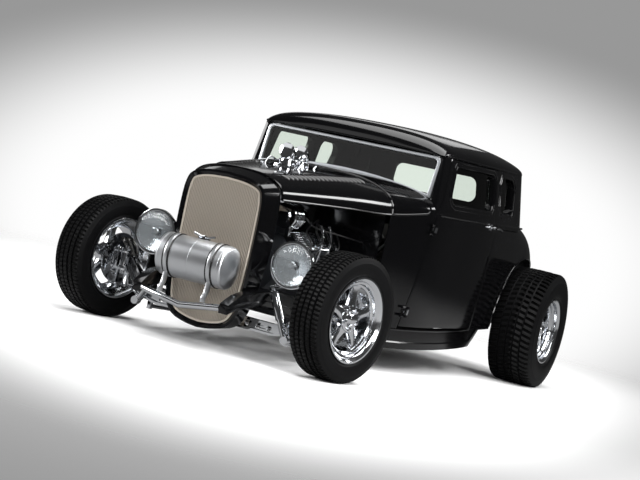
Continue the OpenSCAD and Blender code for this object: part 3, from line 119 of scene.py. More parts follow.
FINISHES: dict[Slot, Finish] = {
    Slot.BODY: Finish("gloss_black_paint", "#050506", roughness=0.1),
    Slot.FRAME: Finish("frame_black_paint", "#060607", roughness=0.16),
    Slot.BRIGHT: Finish("chrome", "#D9DBDE", metallic=1.0, roughness=0.07),
    Slot.WHEEL: Finish("polished_aluminium", "#D2D4D7", metallic=1.0, roughness=0.12),
    Slot.SPUN: Finish("spun_aluminium", "#D3D5D8", metallic=1.0, roughness=0.32, spun=0.7),
    Slot.DARK: Finish("dark_iron", "#232427", metallic=0.7, roughness=0.5),
    Slot.ENGINE: Finish("engine_enamel", "#3A3C40", metallic=0.6, roughness=0.34),
    Slot.EXHAUST: Finish("header_coating", "#B4B2AD", metallic=1.0, roughness=0.26),
    Slot.TYRE: Finish(
        "tyre_rubber", "#050506", roughness=0.5, grain=0.00012, grain_scale=1.6, specular=0.16,
    ),
    Slot.GLASS: Finish("window_glass", "#F7FAF7", roughness=0.0, pane=True),
    Slot.LAMP: Finish("lamp_glass", "#F2F5F6", roughness=0.02, transmission=1.0, flutes=11.0),
    Slot.LENS: Finish("red_lens", "#8E1216", roughness=0.12, coat=0.5),
    Slot.SEAT: Finish("seat_leather", "#1F1B1A", roughness=0.5, grain=0.0002, grain_scale=3.0),
    Slot.GRIP: Finish("black_grip", "#0C0C0D", roughness=0.35),
}
GRILLE = Finish("grille_stainless", "#CBC1B4", metallic=0.5, roughness=0.36)
# windshield frame's chrome, rougher and darker: the darker colour is painted shade for the grey reflections
# it shows
RIM = Finish("rim_chrome_painted_shade", "#B9BCC0", metallic=0.75, roughness=0.28)
# dull near-black of the wheel tubs: partly their own black, partly painted shade of the arch opening
ARCH = Finish("tub_black_and_painted_shade", "#030303", roughness=0.85, specular=0.2)


def linear(hex_colour: str) -> tuple[float, float, float, float]:
    """Turns an sRGB hex colour into linear RGBA.

    Args:
        hex_colour: colour such as "#8090A0".

    Returns:
        Linear red, green, blue and an alpha of 1.
    """
    parts = [int(hex_colour[i : i + 2], 16) / 255 for i in (1, 3, 5)]
    r, g, b = (c / 12.92 if c <= 0.04045 else ((c + 0.055) / 1.055) ** 2.4 for c in parts)
    return (r, g, b, 1.0)


def add_node(tree: NodeTree, kind: str, operation: str = "", **inputs: object) -> Node:
    """Adds a shader node and sets its sockets.

    Args:
        tree: node tree to add to.
        kind: node type without its common first part.
        operation: what a math node does.
        **inputs: socket values by name, with underscores for spaces.

    Returns:
        The new node.
    """
    node = tree.nodes.new(f"ShaderNode{kind}")
    if operation:
        node.operation = operation
    for key, value in inputs.items():
        node.inputs[key.replace("_", " ")].default_value = value
    return node


def join(tree: NodeTree, *links: tuple[Node, str, Node, str | int]) -> None:
    """Links sockets of shader nodes.

    Args:
        tree: node tree.
        *links: rows of source node, its output, target node and its input.
    """
    for source, out, target, into in links:
        tree.links.new(source.outputs[out], target.inputs[into])


class Paintbox:
    """Makes each material once and hands it out."""

    IOR = 1.45
    COAT_ROUGHNESS = 0.03
    GRAIN_STRENGTH = 0.4
    FLUTE_STRENGTH, FLUTE_HEIGHT = 0.6, 0.002

    def __init__(self) -> None:
        """Starts with no materials made."""
        self._made: dict[str, Material] = {}

    def get(self, finish: Finish) -> Material:
        """Returns the material of a finish.

        Args:
            finish: finish to make or look up.

        Returns:
            The material.
        """
        if finish.name not in self._made:
            self._made[finish.name] = self._make(finish)
        return self._made[finish.name]

    def _make(self, finish: Finish) -> Material:
        """Builds one node material.

        Args:
            finish: finish to build.

        Returns:
            The new material.
        """
        mat = bpy.data.materials.new(finish.name)
        mat.use_nodes = True
        tree = mat.node_tree
        shader = tree.nodes["Principled BSDF"]
        for socket, value in (
            ("Base Color", linear(finish.colour)),
            ("Metallic", finish.metallic),
            ("Roughness", finish.roughness),
            ("Specular IOR Level", finish.specular),
            ("Coat Weight", finish.coat),
            ("Coat Roughness", self.COAT_ROUGHNESS),
            ("Transmission Weight", finish.transmission),
            ("IOR", self.IOR),
            ("Anisotropic", finish.spun),
        ):
            shader.inputs[socket].default_value = value
        if finish.grain:
            noise = add_node(tree, "TexNoise", Scale=1000 / finish.grain_scale, Detail=2.0)
            self._bump(tree, noise, self.GRAIN_STRENGTH, finish.grain)
        if finish.flutes:
            wave = add_node(tree, "TexWave", Scale=1000 / (math.pi * finish.flutes))
            self._bump(tree, wave, self.FLUTE_STRENGTH, self.FLUTE_HEIGHT)
        if finish.spun:
            tangent = add_node(tree, "Tangent")
            tangent.direction_type = "RADIAL"
            tangent.axis = "X"
            join(tree, (tangent, "Tangent", shader, "Tangent"))
        if finish.pane:
            self._pane(tree, finish.colour)
        return mat

    @staticmethod
    def _bump(tree: NodeTree, pattern: Node, strength: float, height: float) -> None:
        """Presses a pattern into the surface.

        Args:
            tree: node tree.
            pattern: texture node.
            strength: share of the bump that shows.
            height: height of the bump in metres.
        """
        coords = add_node(tree, "TexCoord")
        bump = add_node(tree, "Bump", Strength=strength, Distance=height)
        join(
            tree,
            (coords, "Object", pattern, "Vector"),
            (pattern, "Fac", bump, "Height"),
            (bump, "Normal", tree.nodes["Principled BSDF"], "Normal"),
        )

    def _pane(self, tree: NodeTree, colour: str) -> None:
        """Makes a thin pane, whose front mirrors at a slant and whose back only lets light through.

        Args:
            tree: node tree.
            colour: sRGB hex tint.
        """
        clear = add_node(tree, "BsdfTransparent", Color=linear(colour))
        gloss = add_node(tree, "BsdfGlossy", Roughness=0.0)
        slant = add_node(tree, "Fresnel", IOR=self.IOR)
        side = add_node(tree, "NewGeometry")
        front = add_node(tree, "MixShader")
        pane = add_node(tree, "MixShader")
        join(
            tree,
            (slant, "Fac", front, "Fac"),
            (clear, "BSDF", front, 1),
            (gloss, "BSDF", front, 2),
            (side, "Backfacing", pane, "Fac"),
            (front, "Shader", pane, 1),
            (clear, "BSDF", pane, 2),
            (pane, "Shader", tree.nodes["Material Output"], "Surface"),
        )


PAINT = Paintbox()


def hermite(x: float, table: Table) -> float:
    """Smooth curve through a table of stations and values.

    Args:
        x: station to read at.
        table: rows of station and value.

    Returns:
        The value there.
    """
    x = min(max(x, table[0][0]), table[-1][0])
    k = max(i for i in range(len(table) - 1) if x >= table[i][0])

    def slope(i: int) -> float:
        a, b = max(i - 1, 0), min(i + 1, len(table) - 1)
        return (table[b][1] - table[a][1]) / (table[b][0] - table[a][0])

    h = table[k + 1][0] - table[k][0]
    u = (x - table[k][0]) / h
    return (
        table[k][1] * (2 * u**3 - 3 * u**2 + 1)
        + slope(k) * h * (u**3 - 2 * u**2 + u)
        + table[k + 1][1] * (3 * u**2 - 2 * u**3)
        + slope(k + 1) * h * (u**3 - u**2)
    )


def boxy(s: float, power: float) -> Point2:
    """Point on a boxy arch, spaced evenly along its side, corner and top.

    Args:
        s: 0 at the foot, 1 at the top's middle.
        power: squareness.

    Returns:
        Half width and height fractions.
    """
    corner = 0.5 ** (1 / power)
    if s <= 0.4:
        b = corner * 0.94 * s / 0.4
        return ((1 - b**power) ** (1 / power), b)
    if s >= 0.6:
        a = corner * 0.94 * (1 - s) / 0.4
        return (a, (1 - a**power) ** (1 / power))
    edge = corner * 0.94
    q0 = math.asin(min(1.0, edge ** (power / 2)))
    q = q0 + (math.pi / 2 - 2 * q0) * (s - 0.4) / 0.2
    return (math.cos(q) ** (2 / power), math.sin(q) ** (2 / power))


def spread(a: float, b: float, n: int) -> list[float]:
    """Evenly spaced values.

    Args:
        a: first value.
        b: last value.
        n: number of steps.

    Returns:
        n + 1 values.
    """
    return [a + (b - a) * i / n for i in range(n + 1)]


def arch(s: float, power: float) -> Point2:
    """Point on a rounded arch.

    Args:
        s: 0 at the foot, 1 at the crown.
        power: squareness.

    Returns:
        Half width and height fractions.
    """
    q = s * math.pi / 2
    return (max(math.cos(q), 0) ** (2 / power), math.sin(q) ** (2 / power))


def mirrored(s: float) -> tuple[int, float]:
    """Splits a whole section into its two halves.

    Args:
        s: 0 at the left foot, 1 at the right foot.

    Returns:
        Side, and the half's parameter from 0 at the foot to 1 in the middle.
    """
    return (1 if s < 0.5 else -1, 1 - abs(2 * s - 1))


def rounded(rows: Sequence[Point3], n: int = 10) -> list[Point2]:
    """Polygon with rounded corners.

    Args:
        rows: corners as x, y and radius.
        n: steps round each corner.

    Returns:
        The outline's points.
    """
    out: list[Point2] = []
    for i, (cx, cy, r) in enumerate(rows):
        c = Vector((cx, cy))
        u = (Vector(rows[i - 1][:2]) - c).normalized()
        v = (Vector(rows[(i + 1) % len(rows)][:2]) - c).normalized()
        half = math.acos(max(-1.0, min(1.0, u.dot(v)))) / 2
        m = c + (u + v).normalized() * (r / math.sin(half))
        s, e = c + u * (r / math.tan(half)) - m, c + v * (r / math.tan(half)) - m
        turn = 1 if s.x * e.y - s.y * e.x > 0 else -1
        for k in range(n + 1):
            q = turn * (math.pi - 2 * half) * k / n
            x = m.x + s.x * math.cos(q) - s.y * math.sin(q)
            y = m.y + s.x * math.sin(q) + s.y * math.cos(q)
            out.append((x, y))
    return out


def grown(rows: Sequence[Point3], out: float) -> list[Point2]:
    """Rounded outline of a window, moved outwards.

    Args:
        rows: corners as two coordinates and a radius.
        out: distance outwards.

    Returns:
        The outline's points.
    """
    a_mid, b_mid = (sum(row[k] for row in rows) / len(rows) for k in (0, 1))
    return rounded(
        [(a + math.copysign(out, a - a_mid), b + math.copysign(out, b - b_mid), r + out) for a, b, r in rows]
    )


def circle(a: float, b: float, r: float, n: int = 96) -> list[Point2]:
    """Round outline.

    Args:
        a: first centre coordinate.
        b: second centre coordinate.
        r: radius.
        n: number of points.

    Returns:
        The outline.
    """
    return [(a + r * math.cos(FULL_TURN * i / n), b + r * math.sin(FULL_TURN * i / n)) for i in range(n)]


def raked(p: Sequence[float]) -> Vector:
    """Turns a point of the tilted body into the row frame.

    Args:
        p: point in millimetres.

    Returns:
        Point in metres.
    """
    c, s = math.cos(RAKE), math.sin(RAKE)
    return Vector((p[0], p[1] * c - p[2] * s - ORIGIN_Y, p[1] * s + p[2] * c)) * MM


def on_side(side: int, p: Sequence[float]) -> Vector:
    """Turns a point of the tilted body's left half into the row frame.

    Args:
        side: 1 for the left, -1 to mirror it to the right.
        p: point in millimetres.

    Returns:
        Point in metres.
    """
    return raked((side * p[0], p[1], p[2]))


def level(p: Sequence[float]) -> Vector:
    """Turns a point measured from the front axle into the row frame.

    Args:
        p: point in millimetres.

    Returns:
        Point in metres.
    """
    return Vector((p[0], p[1] - ORIGIN_Y, p[2])) * MM


def grid_mesh(
    point: Callable[[float, float], Vector], us: Sequence[float], vs: Sequence[float]
) -> BMesh:
    """Maps a grid onto a surface.

    Args:
        point: surface point of two parameters.
        us: first parameter's values.
        vs: second parameter's values.

    Returns:
        The mapped grid.
    """
    bm = bmesh.new()
    bmesh.ops.create_grid(bm, x_segments=len(us) - 1, y_segments=len(vs) - 1, size=1)
    for vert in bm.verts:
        i = round((vert.co.x + 1) / 2 * (len(us) - 1))
        j = round((vert.co.y + 1) / 2 * (len(vs) - 1))
        vert.co = point(us[i], vs[j])
    bmesh.ops.remove_doubles(bm, verts=bm.verts, dist=WELD)
    return bm


def face_out(bm: BMesh, inside: Vector) -> None:
    """Turns an open sheet's faces away from a point.

    Args:
        bm: sheet.
        inside: point behind the sheet.
    """
    bmesh.ops.recalc_face_normals(bm, faces=bm.faces)
    if sum(f.normal.dot(f.calc_center_median() - inside) * f.calc_area() for f in bm.faces) < 0:
        bmesh.ops.reverse_faces(bm, faces=bm.faces)


def skin(
    point: Callable[[float, float], Vector], us: Sequence[float], vs: Sequence[float], inside: Point3
) -> BMesh:
    """Maps a grid onto a surface and turns it outwards.

    Args:
        point: surface point of two parameters.
        us: first parameter's values.
        vs: second parameter's values.
        inside: point behind the surface, in the tilted body's millimetres.

    Returns:
        The open sheet.
    """
    bm = grid_mesh(point, us, vs)
    face_out(bm, raked(inside))
    return bm


def turned(bm: BMesh, line: Sequence[Vector], centre: Vector, axis: Point3, steps: int) -> None:
    """Spins a line round an axis.

    Args:
        bm: mesh to add to.
        line: points in the row frame.
        centre: point on the axis.
        axis: direction of the axis.
        steps: steps round the axis.
    """
    verts = [bm.verts.new(p) for p in line]
    edges = [bm.edges.new(pair) for pair in zip(verts, verts[1:])]
    bmesh.ops.spin(
        bm, geom=verts + edges, cent=centre, axis=axis, angle=FULL_TURN, steps=steps, use_merge=True
    )
    bmesh.ops.remove_doubles(bm, verts=bm.verts, dist=WELD)
    bmesh.ops.recalc_face_normals(bm, faces=bm.faces)


def place(name: str, data: ID) -> Object:
    """Puts a new object in the scene.

    Args:
        name: object name.
        data: mesh, curve, light or camera.

    Returns:
        The object.
    """
    obj = bpy.data.objects.new(name, data)
    bpy.context.scene.collection.objects.link(obj)
    return obj


def new_object(name: str, bm: BMesh) -> Object:
    """Makes an object of a bmesh and frees it.

    Args:
        name: object name.
        bm: mesh to use.

    Returns:
        The linked object.
    """
    mesh = bpy.data.meshes.new(name)
    bm.to_mesh(mesh)
    bm.free()
    return place(name, mesh)


def final_mesh(obj: Object) -> Mesh:
    """Mesh of an object as its modifiers leave it.

    Args:
        obj: object to read.

    Returns:
        The new mesh.
    """
    return bpy.data.meshes.new_from_object(obj.evaluated_get(bpy.context.evaluated_depsgraph_get()))


def bake(obj: Object) -> None:
    """Applies every modifier of an object.

    Args:
        obj: object to bake.
    """
    mesh = final_mesh(obj)
    obj.modifiers.clear()
    obj.data = mesh


def prism(outline: Sequence[Point2], axis: int, low: float, high: float) -> Object:
    """Makes a cutter by sweeping an outline along an axis of the tilted body.

    Args:
        outline: points in the other two axes, in millimetres.
        axis: 0 for x, 1 for y, 2 for z.
        low: start along the axis.
        high: end along the axis.

    Returns:
        The cutter object.
    """

    def at(p: Point2, t: float) -> Vector:
        full = list(p)
        full.insert(axis, t)
        return raked(full)

    bm = bmesh.new()
    face = bm.faces.new([bm.verts.new(at(p, low)) for p in outline])
    swept = bmesh.ops.extrude_face_region(bm, geom=[face])["geom"]
    shift = at(outline[0], high) - at(outline[0], low)
    bmesh.ops.translate(bm, vec=shift, verts=[g for g in swept if isinstance(g, BMVert)])
    bmesh.ops.recalc_face_normals(bm, faces=bm.faces)
    return new_object("cutter", bm)


@dataclass
class Piece:
    """One finished piece of the looks.

    Attributes:
        name: object name.
        slot: material slot.
        body: CAD body it rides on.
        nodes: CAD nodes it stands for.
        sharp: angle over which an edge stays sharp, in degrees.
    """

    name: str
    slot: Slot
    body: str = "root"
    nodes: tuple[str, ...] = ()
    sharp: float = 35.0

    def finish(self, obj: Object, finish: Finish | None = None) -> Object:
        """Paints, shades and seats an object.

        Args:
            obj: object to finish.
            finish: finish, or the slot's own.

        Returns:
            The object.
        """
        obj.name = self.name
        obj.data.materials.clear()
        obj.data.materials.append(PAINT.get(finish or FINISHES[self.slot]))
        for poly in obj.data.polygons:
            poly.use_smooth = True
        obj.data.set_sharp_from_angle(angle=math.radians(self.sharp))
        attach(obj, self.body)
        if self.nodes:
            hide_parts(*self.nodes)
        log.info("%s: %d faces on %s", self.name, len(obj.data.polygons), self.body)
        return obj

    def of(self, bm: BMesh, finish: Finish | None = None) -> Object:
        """Finishes a bmesh as an object.

        Args:
            bm: mesh.
            finish: finish, or the slot's own.

        Returns:
            The object.
        """
        return self.finish(new_object(self.name, bm), finish)


def round_edges(obj: Object, width: float, degrees: float) -> None:
    """Adds a small bevel to an object.

    Args:
        obj: object.
        width: width of the bevel in metres.
        degrees: angle over which an edge is rounded.
    """
    edge = obj.modifiers.new("edge", "BEVEL")
    edge.width = width
    edge.segments = 2
    edge.limit_method = "ANGLE"
    edge.angle_limit = math.radians(degrees)


def panel(
    piece: Piece,
    sheets: Sequence[BMesh],
    thickness: float,
    cuts: Sequence[Object] = (),
    keeps: Sequence[Object] = (),
    bevel: float = 0.0025,
) -> None:
    """Thickens sheets into a panel, cuts it and rounds its edges.

    Args:
        piece: piece to make.
        sheets: outward facing sheets.
        thickness: thickness in metres, inwards.
        cuts: cutters to take away.
        keeps: cutters to keep the inside of.
        bevel: width of the rounded edges in metres.
    """
    whole = bmesh.new()
    for sheet in sheets:
        mesh = bpy.data.meshes.new("sheet")
        sheet.to_mesh(mesh)
        sheet.free()
        whole.from_mesh(mesh)
        bpy.data.meshes.remove(mesh)
    bmesh.ops.remove_doubles(whole, verts=whole.verts, dist=0.00005)
    obj = new_object(piece.name, whole)
    solid = obj.modifiers.new("solid", "SOLIDIFY")
    solid.thickness = thickness
    solid.offset = -1
    for group, mode in ((keeps, "INTERSECT"), (cuts, "DIFFERENCE")):
        for cutter in group:
            cut = obj.modifiers.new("cut", "BOOLEAN")
            cut.operation = mode
            cut.solver = "EXACT"
            cut.object = cutter
    round_edges(obj, bevel, 50)
    bake(obj)
    for cutter in (*cuts, *keeps):
        bpy.data.objects.remove(cutter)
    piece.finish(obj)


def bead(piece: Piece, paths: Sequence[Sequence[Vector]], radius: float, closed: bool = False) -> None:
    """Lays a round bead or pipe along paths.

    Args:
        piece: piece to make.
        paths: points in the row frame.
        radius: radius in metres.
        closed: whether each path is a ring.
    """
    data = bpy.data.curves.new(piece.name, "CURVE")
    data.dimensions = "3D"
    data.bevel_depth = radius
    data.bevel_resolution = 3
    data.use_fill_caps = True
    for path in paths:
        line = data.splines.new("POLY")
        line.points.add(len(path) - 1)
        for point, co in zip(line.points, path):
            point.co = (*co, 1)
        line.use_cyclic_u = closed
    curve = place(piece.name, data)
    mesh = final_mesh(curve)
    bpy.data.objects.remove(curve)
    piece.finish(place(piece.name, mesh))


def smooth_path(points: Sequence[Sequence[float]], n: int = 8) -> list[Vector]:
    """Smooth line through points.

    Args:
        points: points to pass.
        n: steps between two points.

    Returns:
        The line's points.
    """
    pts = [Vector(p) for p in points]
    out: list[Vector] = []
    for i in range(len(pts) - 1):
        a, b, c, d = pts[max(i - 1, 0)], pts[i], pts[i + 1], pts[min(i + 2, len(pts) - 1)]
        square, cube = 2 * a - 5 * b + 4 * c - d, 3 * b - a - 3 * c + d
        for t in (k / n for k in range(n)):
            out.append(0.5 * (2 * b + (c - a) * t + square * t**2 + cube * t**3))
    out.append(pts[-1])
    return out


def raked_path(points: Sequence[Sequence[float]]) -> list[Vector]:
    """Smooth line through points of the tilted body.

    Args:
        points: points in millimetres.

    Returns:
        The line's points in the row frame.
    """
    return [raked(p) for p in smooth_path(points)]


class Form:
    """Surfaces of the body, in millimetres in the tilted body's own frame."""

    SILL, BELT, DRIP, TAIL = 203.0, 842.0, 1160.0, 3270.0
    COWL_Y, COWL_REAR, DOOR_REAR, CORNER_Y, CABIN_REAR = 837.0, 1180.0, 1912.0, 2300.0, 2550.0
    GAP, TUCK, STEP, WIDE = 5.0, 30.0, 6.0, 900.0
    DOOR_LOW, DOOR_TOP, DOOR_FOOT, DOOR_SLANT = 217.0, 1152.0, 1048.0, 82.0
    WS_FOOT, WS_LEAN, POST_DEPTH = (1125.0, 921.0), math.radians(14), 62.0
    WALL_BACK, WALL_LEAN = 24.0, 40.0
    HOOD_POWER, ROOF_POWER, WRAP_POWER = 2.6, 2.4, 4
    ROOF_FRONT, ROOF_EASE, ROOF_LEAST = 1150.0, 1.7, 3.0
    PLAN: Table = ((837, 460), (1110, 590), (1500, 642), (1880, 668), (2300, 664), (2600, 655))
    LEAN: Table = ((1150, 42), (1912, 54))
    HOOD_X: Table = ((-46, 256), (200, 305), (500, 372), (837, 460), (1110, 590), (1180, 604))
    HOOD_FOOT: Table = ((-46, 773), (200, 780), (500, 788), (837, 796), (1110, 842), (1180, 842))
    HOOD_TOP: Table = ((-46, 888), (200, 912), (500, 942), (837, 967), (1110, 976), (1180, 982))
    ROOF: Table = (
        (1158, 6), (1170, 44), (1188, 72), (1216, 95), (1260, 108), (1450, 123), (1750, 132),
        (2050, 131), (2250, 121), (2400, 94), (2470, 66), (2512, 38), (2530, 10),
    )
    REAR_LOW: Table = (
        (1912, 206), (2250, 206), (2550, 215), (2690, 229), (2830, 241), (2960, 257),
        (3100, 279), (3190, 299), (3240, 313), (3264, 323),
    )
    REAR_TOP: Table = (
        (1912, 842), (2250, 848), (2550, 864), (2690, 850), (2830, 814), (2960, 754),
        (3100, 654), (3190, 554), (3240, 472), (3264, 412),
    )
    REAR_POWER: Table = (
        (1912, 24), (2250, 20), (2550, 12), (2690, 9), (2830, 7), (2960, 5.6),
        (3100, 4.6), (3190, 4), (3240, 3.6), (3264, 3.6),
    )

    @classmethod
    def plan_x(cls, y: float) -> float:
        """Half width at the belt.

        Args:
            y: station.

        Returns:
            Half width.
        """
        end, wide = cls.PLAN[-1]
        if y <= end:
            return hermite(y, cls.PLAN)
        return wide * max(0.0, 1 - ((y - end) / (cls.TAIL - end)) ** 3) ** (1 / 3)

    @classmethod
    def tuck(cls, z: float) -> float:
        """How far the side curves in under the belt.

        Args:
            z: height.

        Returns:
            Distance inwards.
        """
        return cls.TUCK * (max(0.0, cls.BELT - z) / (cls.BELT - cls.SILL)) ** 2

    @classmethod
    def side_x(cls, y: float, z: float) -> float:
        """Half width of the side at a height.

        Args:
            y: station.
            z: height.

        Returns:
            Half width.
        """
        if z <= cls.BELT:
            return cls.plan_x(y) - cls.tuck(z)
        return cls.plan_x(y) - cls.STEP - hermite(y, cls.LEAN) * (z - cls.BELT) / (cls.DRIP - cls.BELT)

    @classmethod
    def ws_at(cls, v: float, d: float) -> Point2:
        """Point in the windshield's plane.

        Args:
            v: distance up the pane.
            d: distance behind the pane.

        Returns:
            Station and height.
        """
        s, c = math.sin(cls.WS_LEAN), math.cos(cls.WS_LEAN)
        return (cls.WS_FOOT[0] + v * s + d * c, cls.WS_FOOT[1] + v * c - d * s)

    @classmethod
    def door_front(cls, z: float) -> float:
        """Station of the door's front edge.

        Args:
            z: height.

        Returns:
            Station.
        """
        foot = cls.WS_FOOT[1]
        post = cls.ws_at(0, cls.POST_DEPTH)[0]
        top = cls.ws_at(cls.DOOR_TOP - foot, cls.POST_DEPTH)[0]
        low = cls.DOOR_FOOT + cls.DOOR_SLANT * (min(z, cls.BELT) - cls.SILL) / (cls.BELT - cls.SILL)
        if z <= cls.BELT:
            return low
        if z <= foot:
            return low + (post - low) * (z - cls.BELT) / (foot - cls.BELT)
        return post + (top - post) * (z - foot) / (cls.DOOR_TOP - foot)

    @classmethod
    def rear(cls, y: float, s: float) -> Point2:
        """Point on the rear body's section.

        Args:
            y: station.
            s: 0 at the lower edge, 1 at the top's middle.

        Returns:
            Half width and height.
        """
        low, top = hermite(y, cls.REAR_LOW), hermite(y, cls.REAR_TOP)
        a, b = boxy(s, hermite(y, cls.REAR_POWER))
        z = low + b * (top - low)
        return (a * (cls.plan_x(y) - cls.tuck(z)), z)

    @classmethod
    def rear_x(cls, y: float, z: float) -> float:
        """Half width of the rear body at a height.

        Args:
            y: station.
            z: height.

        Returns:
            Half width.
        """
        p = hermite(y, cls.REAR_POWER)
        low, top = hermite(y, cls.REAR_LOW), hermite(y, cls.REAR_TOP)
        b = min(1.0, max(0.0, (z - low) / (top - low)))
        return (1 - b**p) ** (1 / p) * (cls.plan_x(y) - cls.tuck(z))

    @classmethod
    def back_y(cls, z: float, x: float = 0.0) -> float:
        """Station of the cabin's rear wall.

        Args:
            z: height.
            x: distance from the middle.

        Returns:
            Station.
        """
        middle = cls.CABIN_REAR + cls.WALL_BACK - cls.WALL_LEAN * (z - cls.BELT) / (cls.DRIP - cls.BELT)
        if not x:
            return middle
        share = min(1.0, abs(x) / cls.side_x(cls.CORNER_Y, z))
        return cls.CORNER_Y + (1 - share**cls.WRAP_POWER) ** (1 / cls.WRAP_POWER) * (middle - cls.CORNER_Y)

    @classmethod
    def hood(cls, y: float, s: float) -> Point2:
        """Point on the hood's or cowl's arch.

        Args:
            y: station.
            s: 0 at the shoulder, 1 at the crown.

        Returns:
            Half width and height.
        """
        x = hermite(y, cls.HOOD_X) if y <= cls.COWL_Y else cls.plan_x(y)
        foot, top = hermite(y, cls.HOOD_FOOT), hermite(y, cls.HOOD_TOP)
        a, b = arch(s, cls.HOOD_POWER)
        return (x * a, foot + (top - foot) * b)

    @classmethod
    def hood_x(cls, y: float, z: float) -> float:
        """Half width of the hood's or cowl's arch at a height.

        Args:
            y: station.
            z: height.

        Returns:
            Half width.
        """
        x, foot = cls.hood(y, 0)
        b = min(1.0, max(0.0, z - foot) / (hermite(y, cls.HOOD_TOP) - foot))
        return x * (1 - b**cls.HOOD_POWER) ** (1 / cls.HOOD_POWER)

    @classmethod
    def roof(cls, y: float, s: float) -> Point2:
        """Point on the roof's section.

        Args:
            y: station.
            s: 0 at the drip rail, 1 at the crown.

        Returns:
            Half width and height.
        """
        x = cls.side_x(min(max(y, cls.ROOF_FRONT), cls.CORNER_Y), cls.DRIP)
        if y > cls.CORNER_Y:
            back = cls.back_y(cls.DRIP) - cls.CORNER_Y + 8
            share = (y - cls.CORNER_Y) / back
            x *= max(0.0, 1 - share**cls.WRAP_POWER) ** (1 / cls.WRAP_POWER)
        a, b = arch(s, cls.ROOF_POWER)
        return (x * a, cls.DRIP + max(cls.ROOF_LEAST, hermite(y, cls.ROOF) - cls.ROOF_EASE) * b)


def wall_rows(low: float, high: float) -> list[float]:
    """Heights for a side wall, crowded at the belt step.

    Args:
        low: lowest height.
        high: highest height.

    Returns:
        Heights in rising order.
    """
    belt = Form.BELT
    below = spread(low, belt - 0.6, round((belt - low) / 24))
    return below + spread(belt + 0.6, high, round((high - belt) / 22))


class Moulding:
    """Beads that several panels share."""

    REVEALS, REVEAL_R = (5, 27), 0.0045
    BELT_R, BELT_IN = 0.0065, 2.0
    HINGE_Z, HINGE_OUT, HINGE_AHEAD, BARREL_R = (300, 760), 17.0, 2.5, 0.011

    @classmethod
    def window(cls, piece: Piece, rows: Sequence[Point3], put: Callable[[float, float], Vector]) -> None:
        """Lays reveal mouldings round a window.

        Args:
            piece: piece to make.
            rows: window corners as two coordinates and a radius.
            put: turns an outline's point into the row frame.
        """
        bead(piece, [[put(*p) for p in grown(rows, out)] for out in cls.REVEALS], cls.REVEAL_R, closed=True)

    @classmethod
    def side_window(cls, piece: Piece, rows: Sequence[Point3], side: int) -> None:
        """Lays reveal mouldings round a side window.

        Args:
            piece: piece to make.
            rows: window corners as station, height and radius.
            side: 1 for the left, -1 for the right.
        """
        cls.window(piece, rows, lambda y, z: raked((side * (Form.side_x(y, z) - 0.5), y, z)))

    @classmethod
    def belt(cls, piece: Piece, side: int, stations: Sequence[float]) -> None:
        """Lays the belt moulding.

        Args:
            piece: piece to make.
            side: 1 for the left, -1 for the right.
            stations: stations to pass.
        """
        path = [raked((side * (Form.plan_x(y) - cls.BELT_IN), y, Form.BELT)) for y in stations]
        bead(piece, [path], cls.BELT_R)

    @classmethod
    def hinges(cls) -> tuple[list[Vector], Vector]:
        """Places a door's hinges.

        Returns:
            The left door's hinge centres and the direction of their axis.
        """
        ends = []
        for z in cls.HINGE_Z:
            front = Form.door_front(z)
            ends.append(Vector((Form.side_x(front, z) + cls.HINGE_OUT, front - cls.HINGE_AHEAD, z)))
        return ends, (ends[1] - ends[0]).normalized()


@dataclass
class Door:
    """One door with its window, mouldings, hinges and handle.

    Attributes:
        side: 1 for the left, -1 for the right.
        body: CAD body, which has the same name as its node.
        window: window corners as station, height and radius.
        thickness: thickness in metres.
        handle: station and height of the handle.
    """

    side: int
    body: str
    window: tuple[Point3, ...] = ((1268, 914, 46), (1322, 1116, 30), (1868, 1122, 30), (1862, 914, 46))
    thickness: float = 0.048
    handle: Point2 = (1842, 822)

    def build(self) -> None:
        """Builds the panel and its dress."""

        def at(u: float, z: float) -> Vector:
            front = Form.door_front(z)
            y = front + (Form.DOOR_REAR - front) * u
            return raked((self.side * Form.side_x(y, z), y, z))

        sheet = skin(at, spread(0, 1, 44), wall_rows(Form.DOOR_LOW, Form.DOOR_TOP), (0, 1500, 600))
        cut = prism(rounded(self.window), 0, self.side * 300, self.side * Form.WIDE)
        panel(Piece(f"{self.body}_panel", Slot.BODY, self.body, (self.body,)), [sheet], self.thickness, [cut])
        Moulding.side_window(self._piece("reveal", Slot.BODY), self.window, self.side)
        Moulding.belt(self._piece("belt", Slot.BODY), self.side, spread(1164, Form.DOOR_REAR - 2, 30))
        self._hinges()
        self._handle()

    def _piece(self, name: str, slot: Slot) -> Piece:
        """Piece that rides on the door.

        Args:
            name: name without the door's.
            slot: material slot.

        Returns:
            The piece.
        """
        return Piece(f"{self.body}_{name}", slot, self.body)

    def _hinges(self) -> None:
        """Adds the hinge barrels and straps on the door's side."""
        ends, run = Moulding.hinges()
        half = run * 14.5
        barrels = [[on_side(self.side, p) for p in (end - half, end + half)] for end in ends]
        bead(self._piece("hinge_barrels", Slot.BRIGHT), barrels, Moulding.BARREL_R)
        straps = [[on_side(self.side, e + Vector(d)) for d in ((-8, 0, 0), (-14, 44, 0))] for e in ends]
        bead(self._piece("hinge_straps", Slot.BRIGHT), straps, radius=0.009)

    def _handle(self) -> None:
        """Adds the chromed lever handle."""
        y, z = self.handle
        x = Form.side_x(y, z)
        stem, rose = ([on_side(self.side, (x + d, y, z)) for d in ends] for ends in ((-2, 38), (-3, 6)))
        bends = ((36, -8, 0), (40, 20, 1), (40, 60, -2), (36, 100, -8))
        lever = smooth_path([(x + a, y + b, z + c) for a, b, c in bends])
        paths = [stem, [on_side(self.side, p) for p in lever]]
        bead(self._piece("handle", Slot.BRIGHT), paths, radius=0.0075)
        bead(self._piece("handle_rose", Slot.BRIGHT), [rose], radius=0.017)


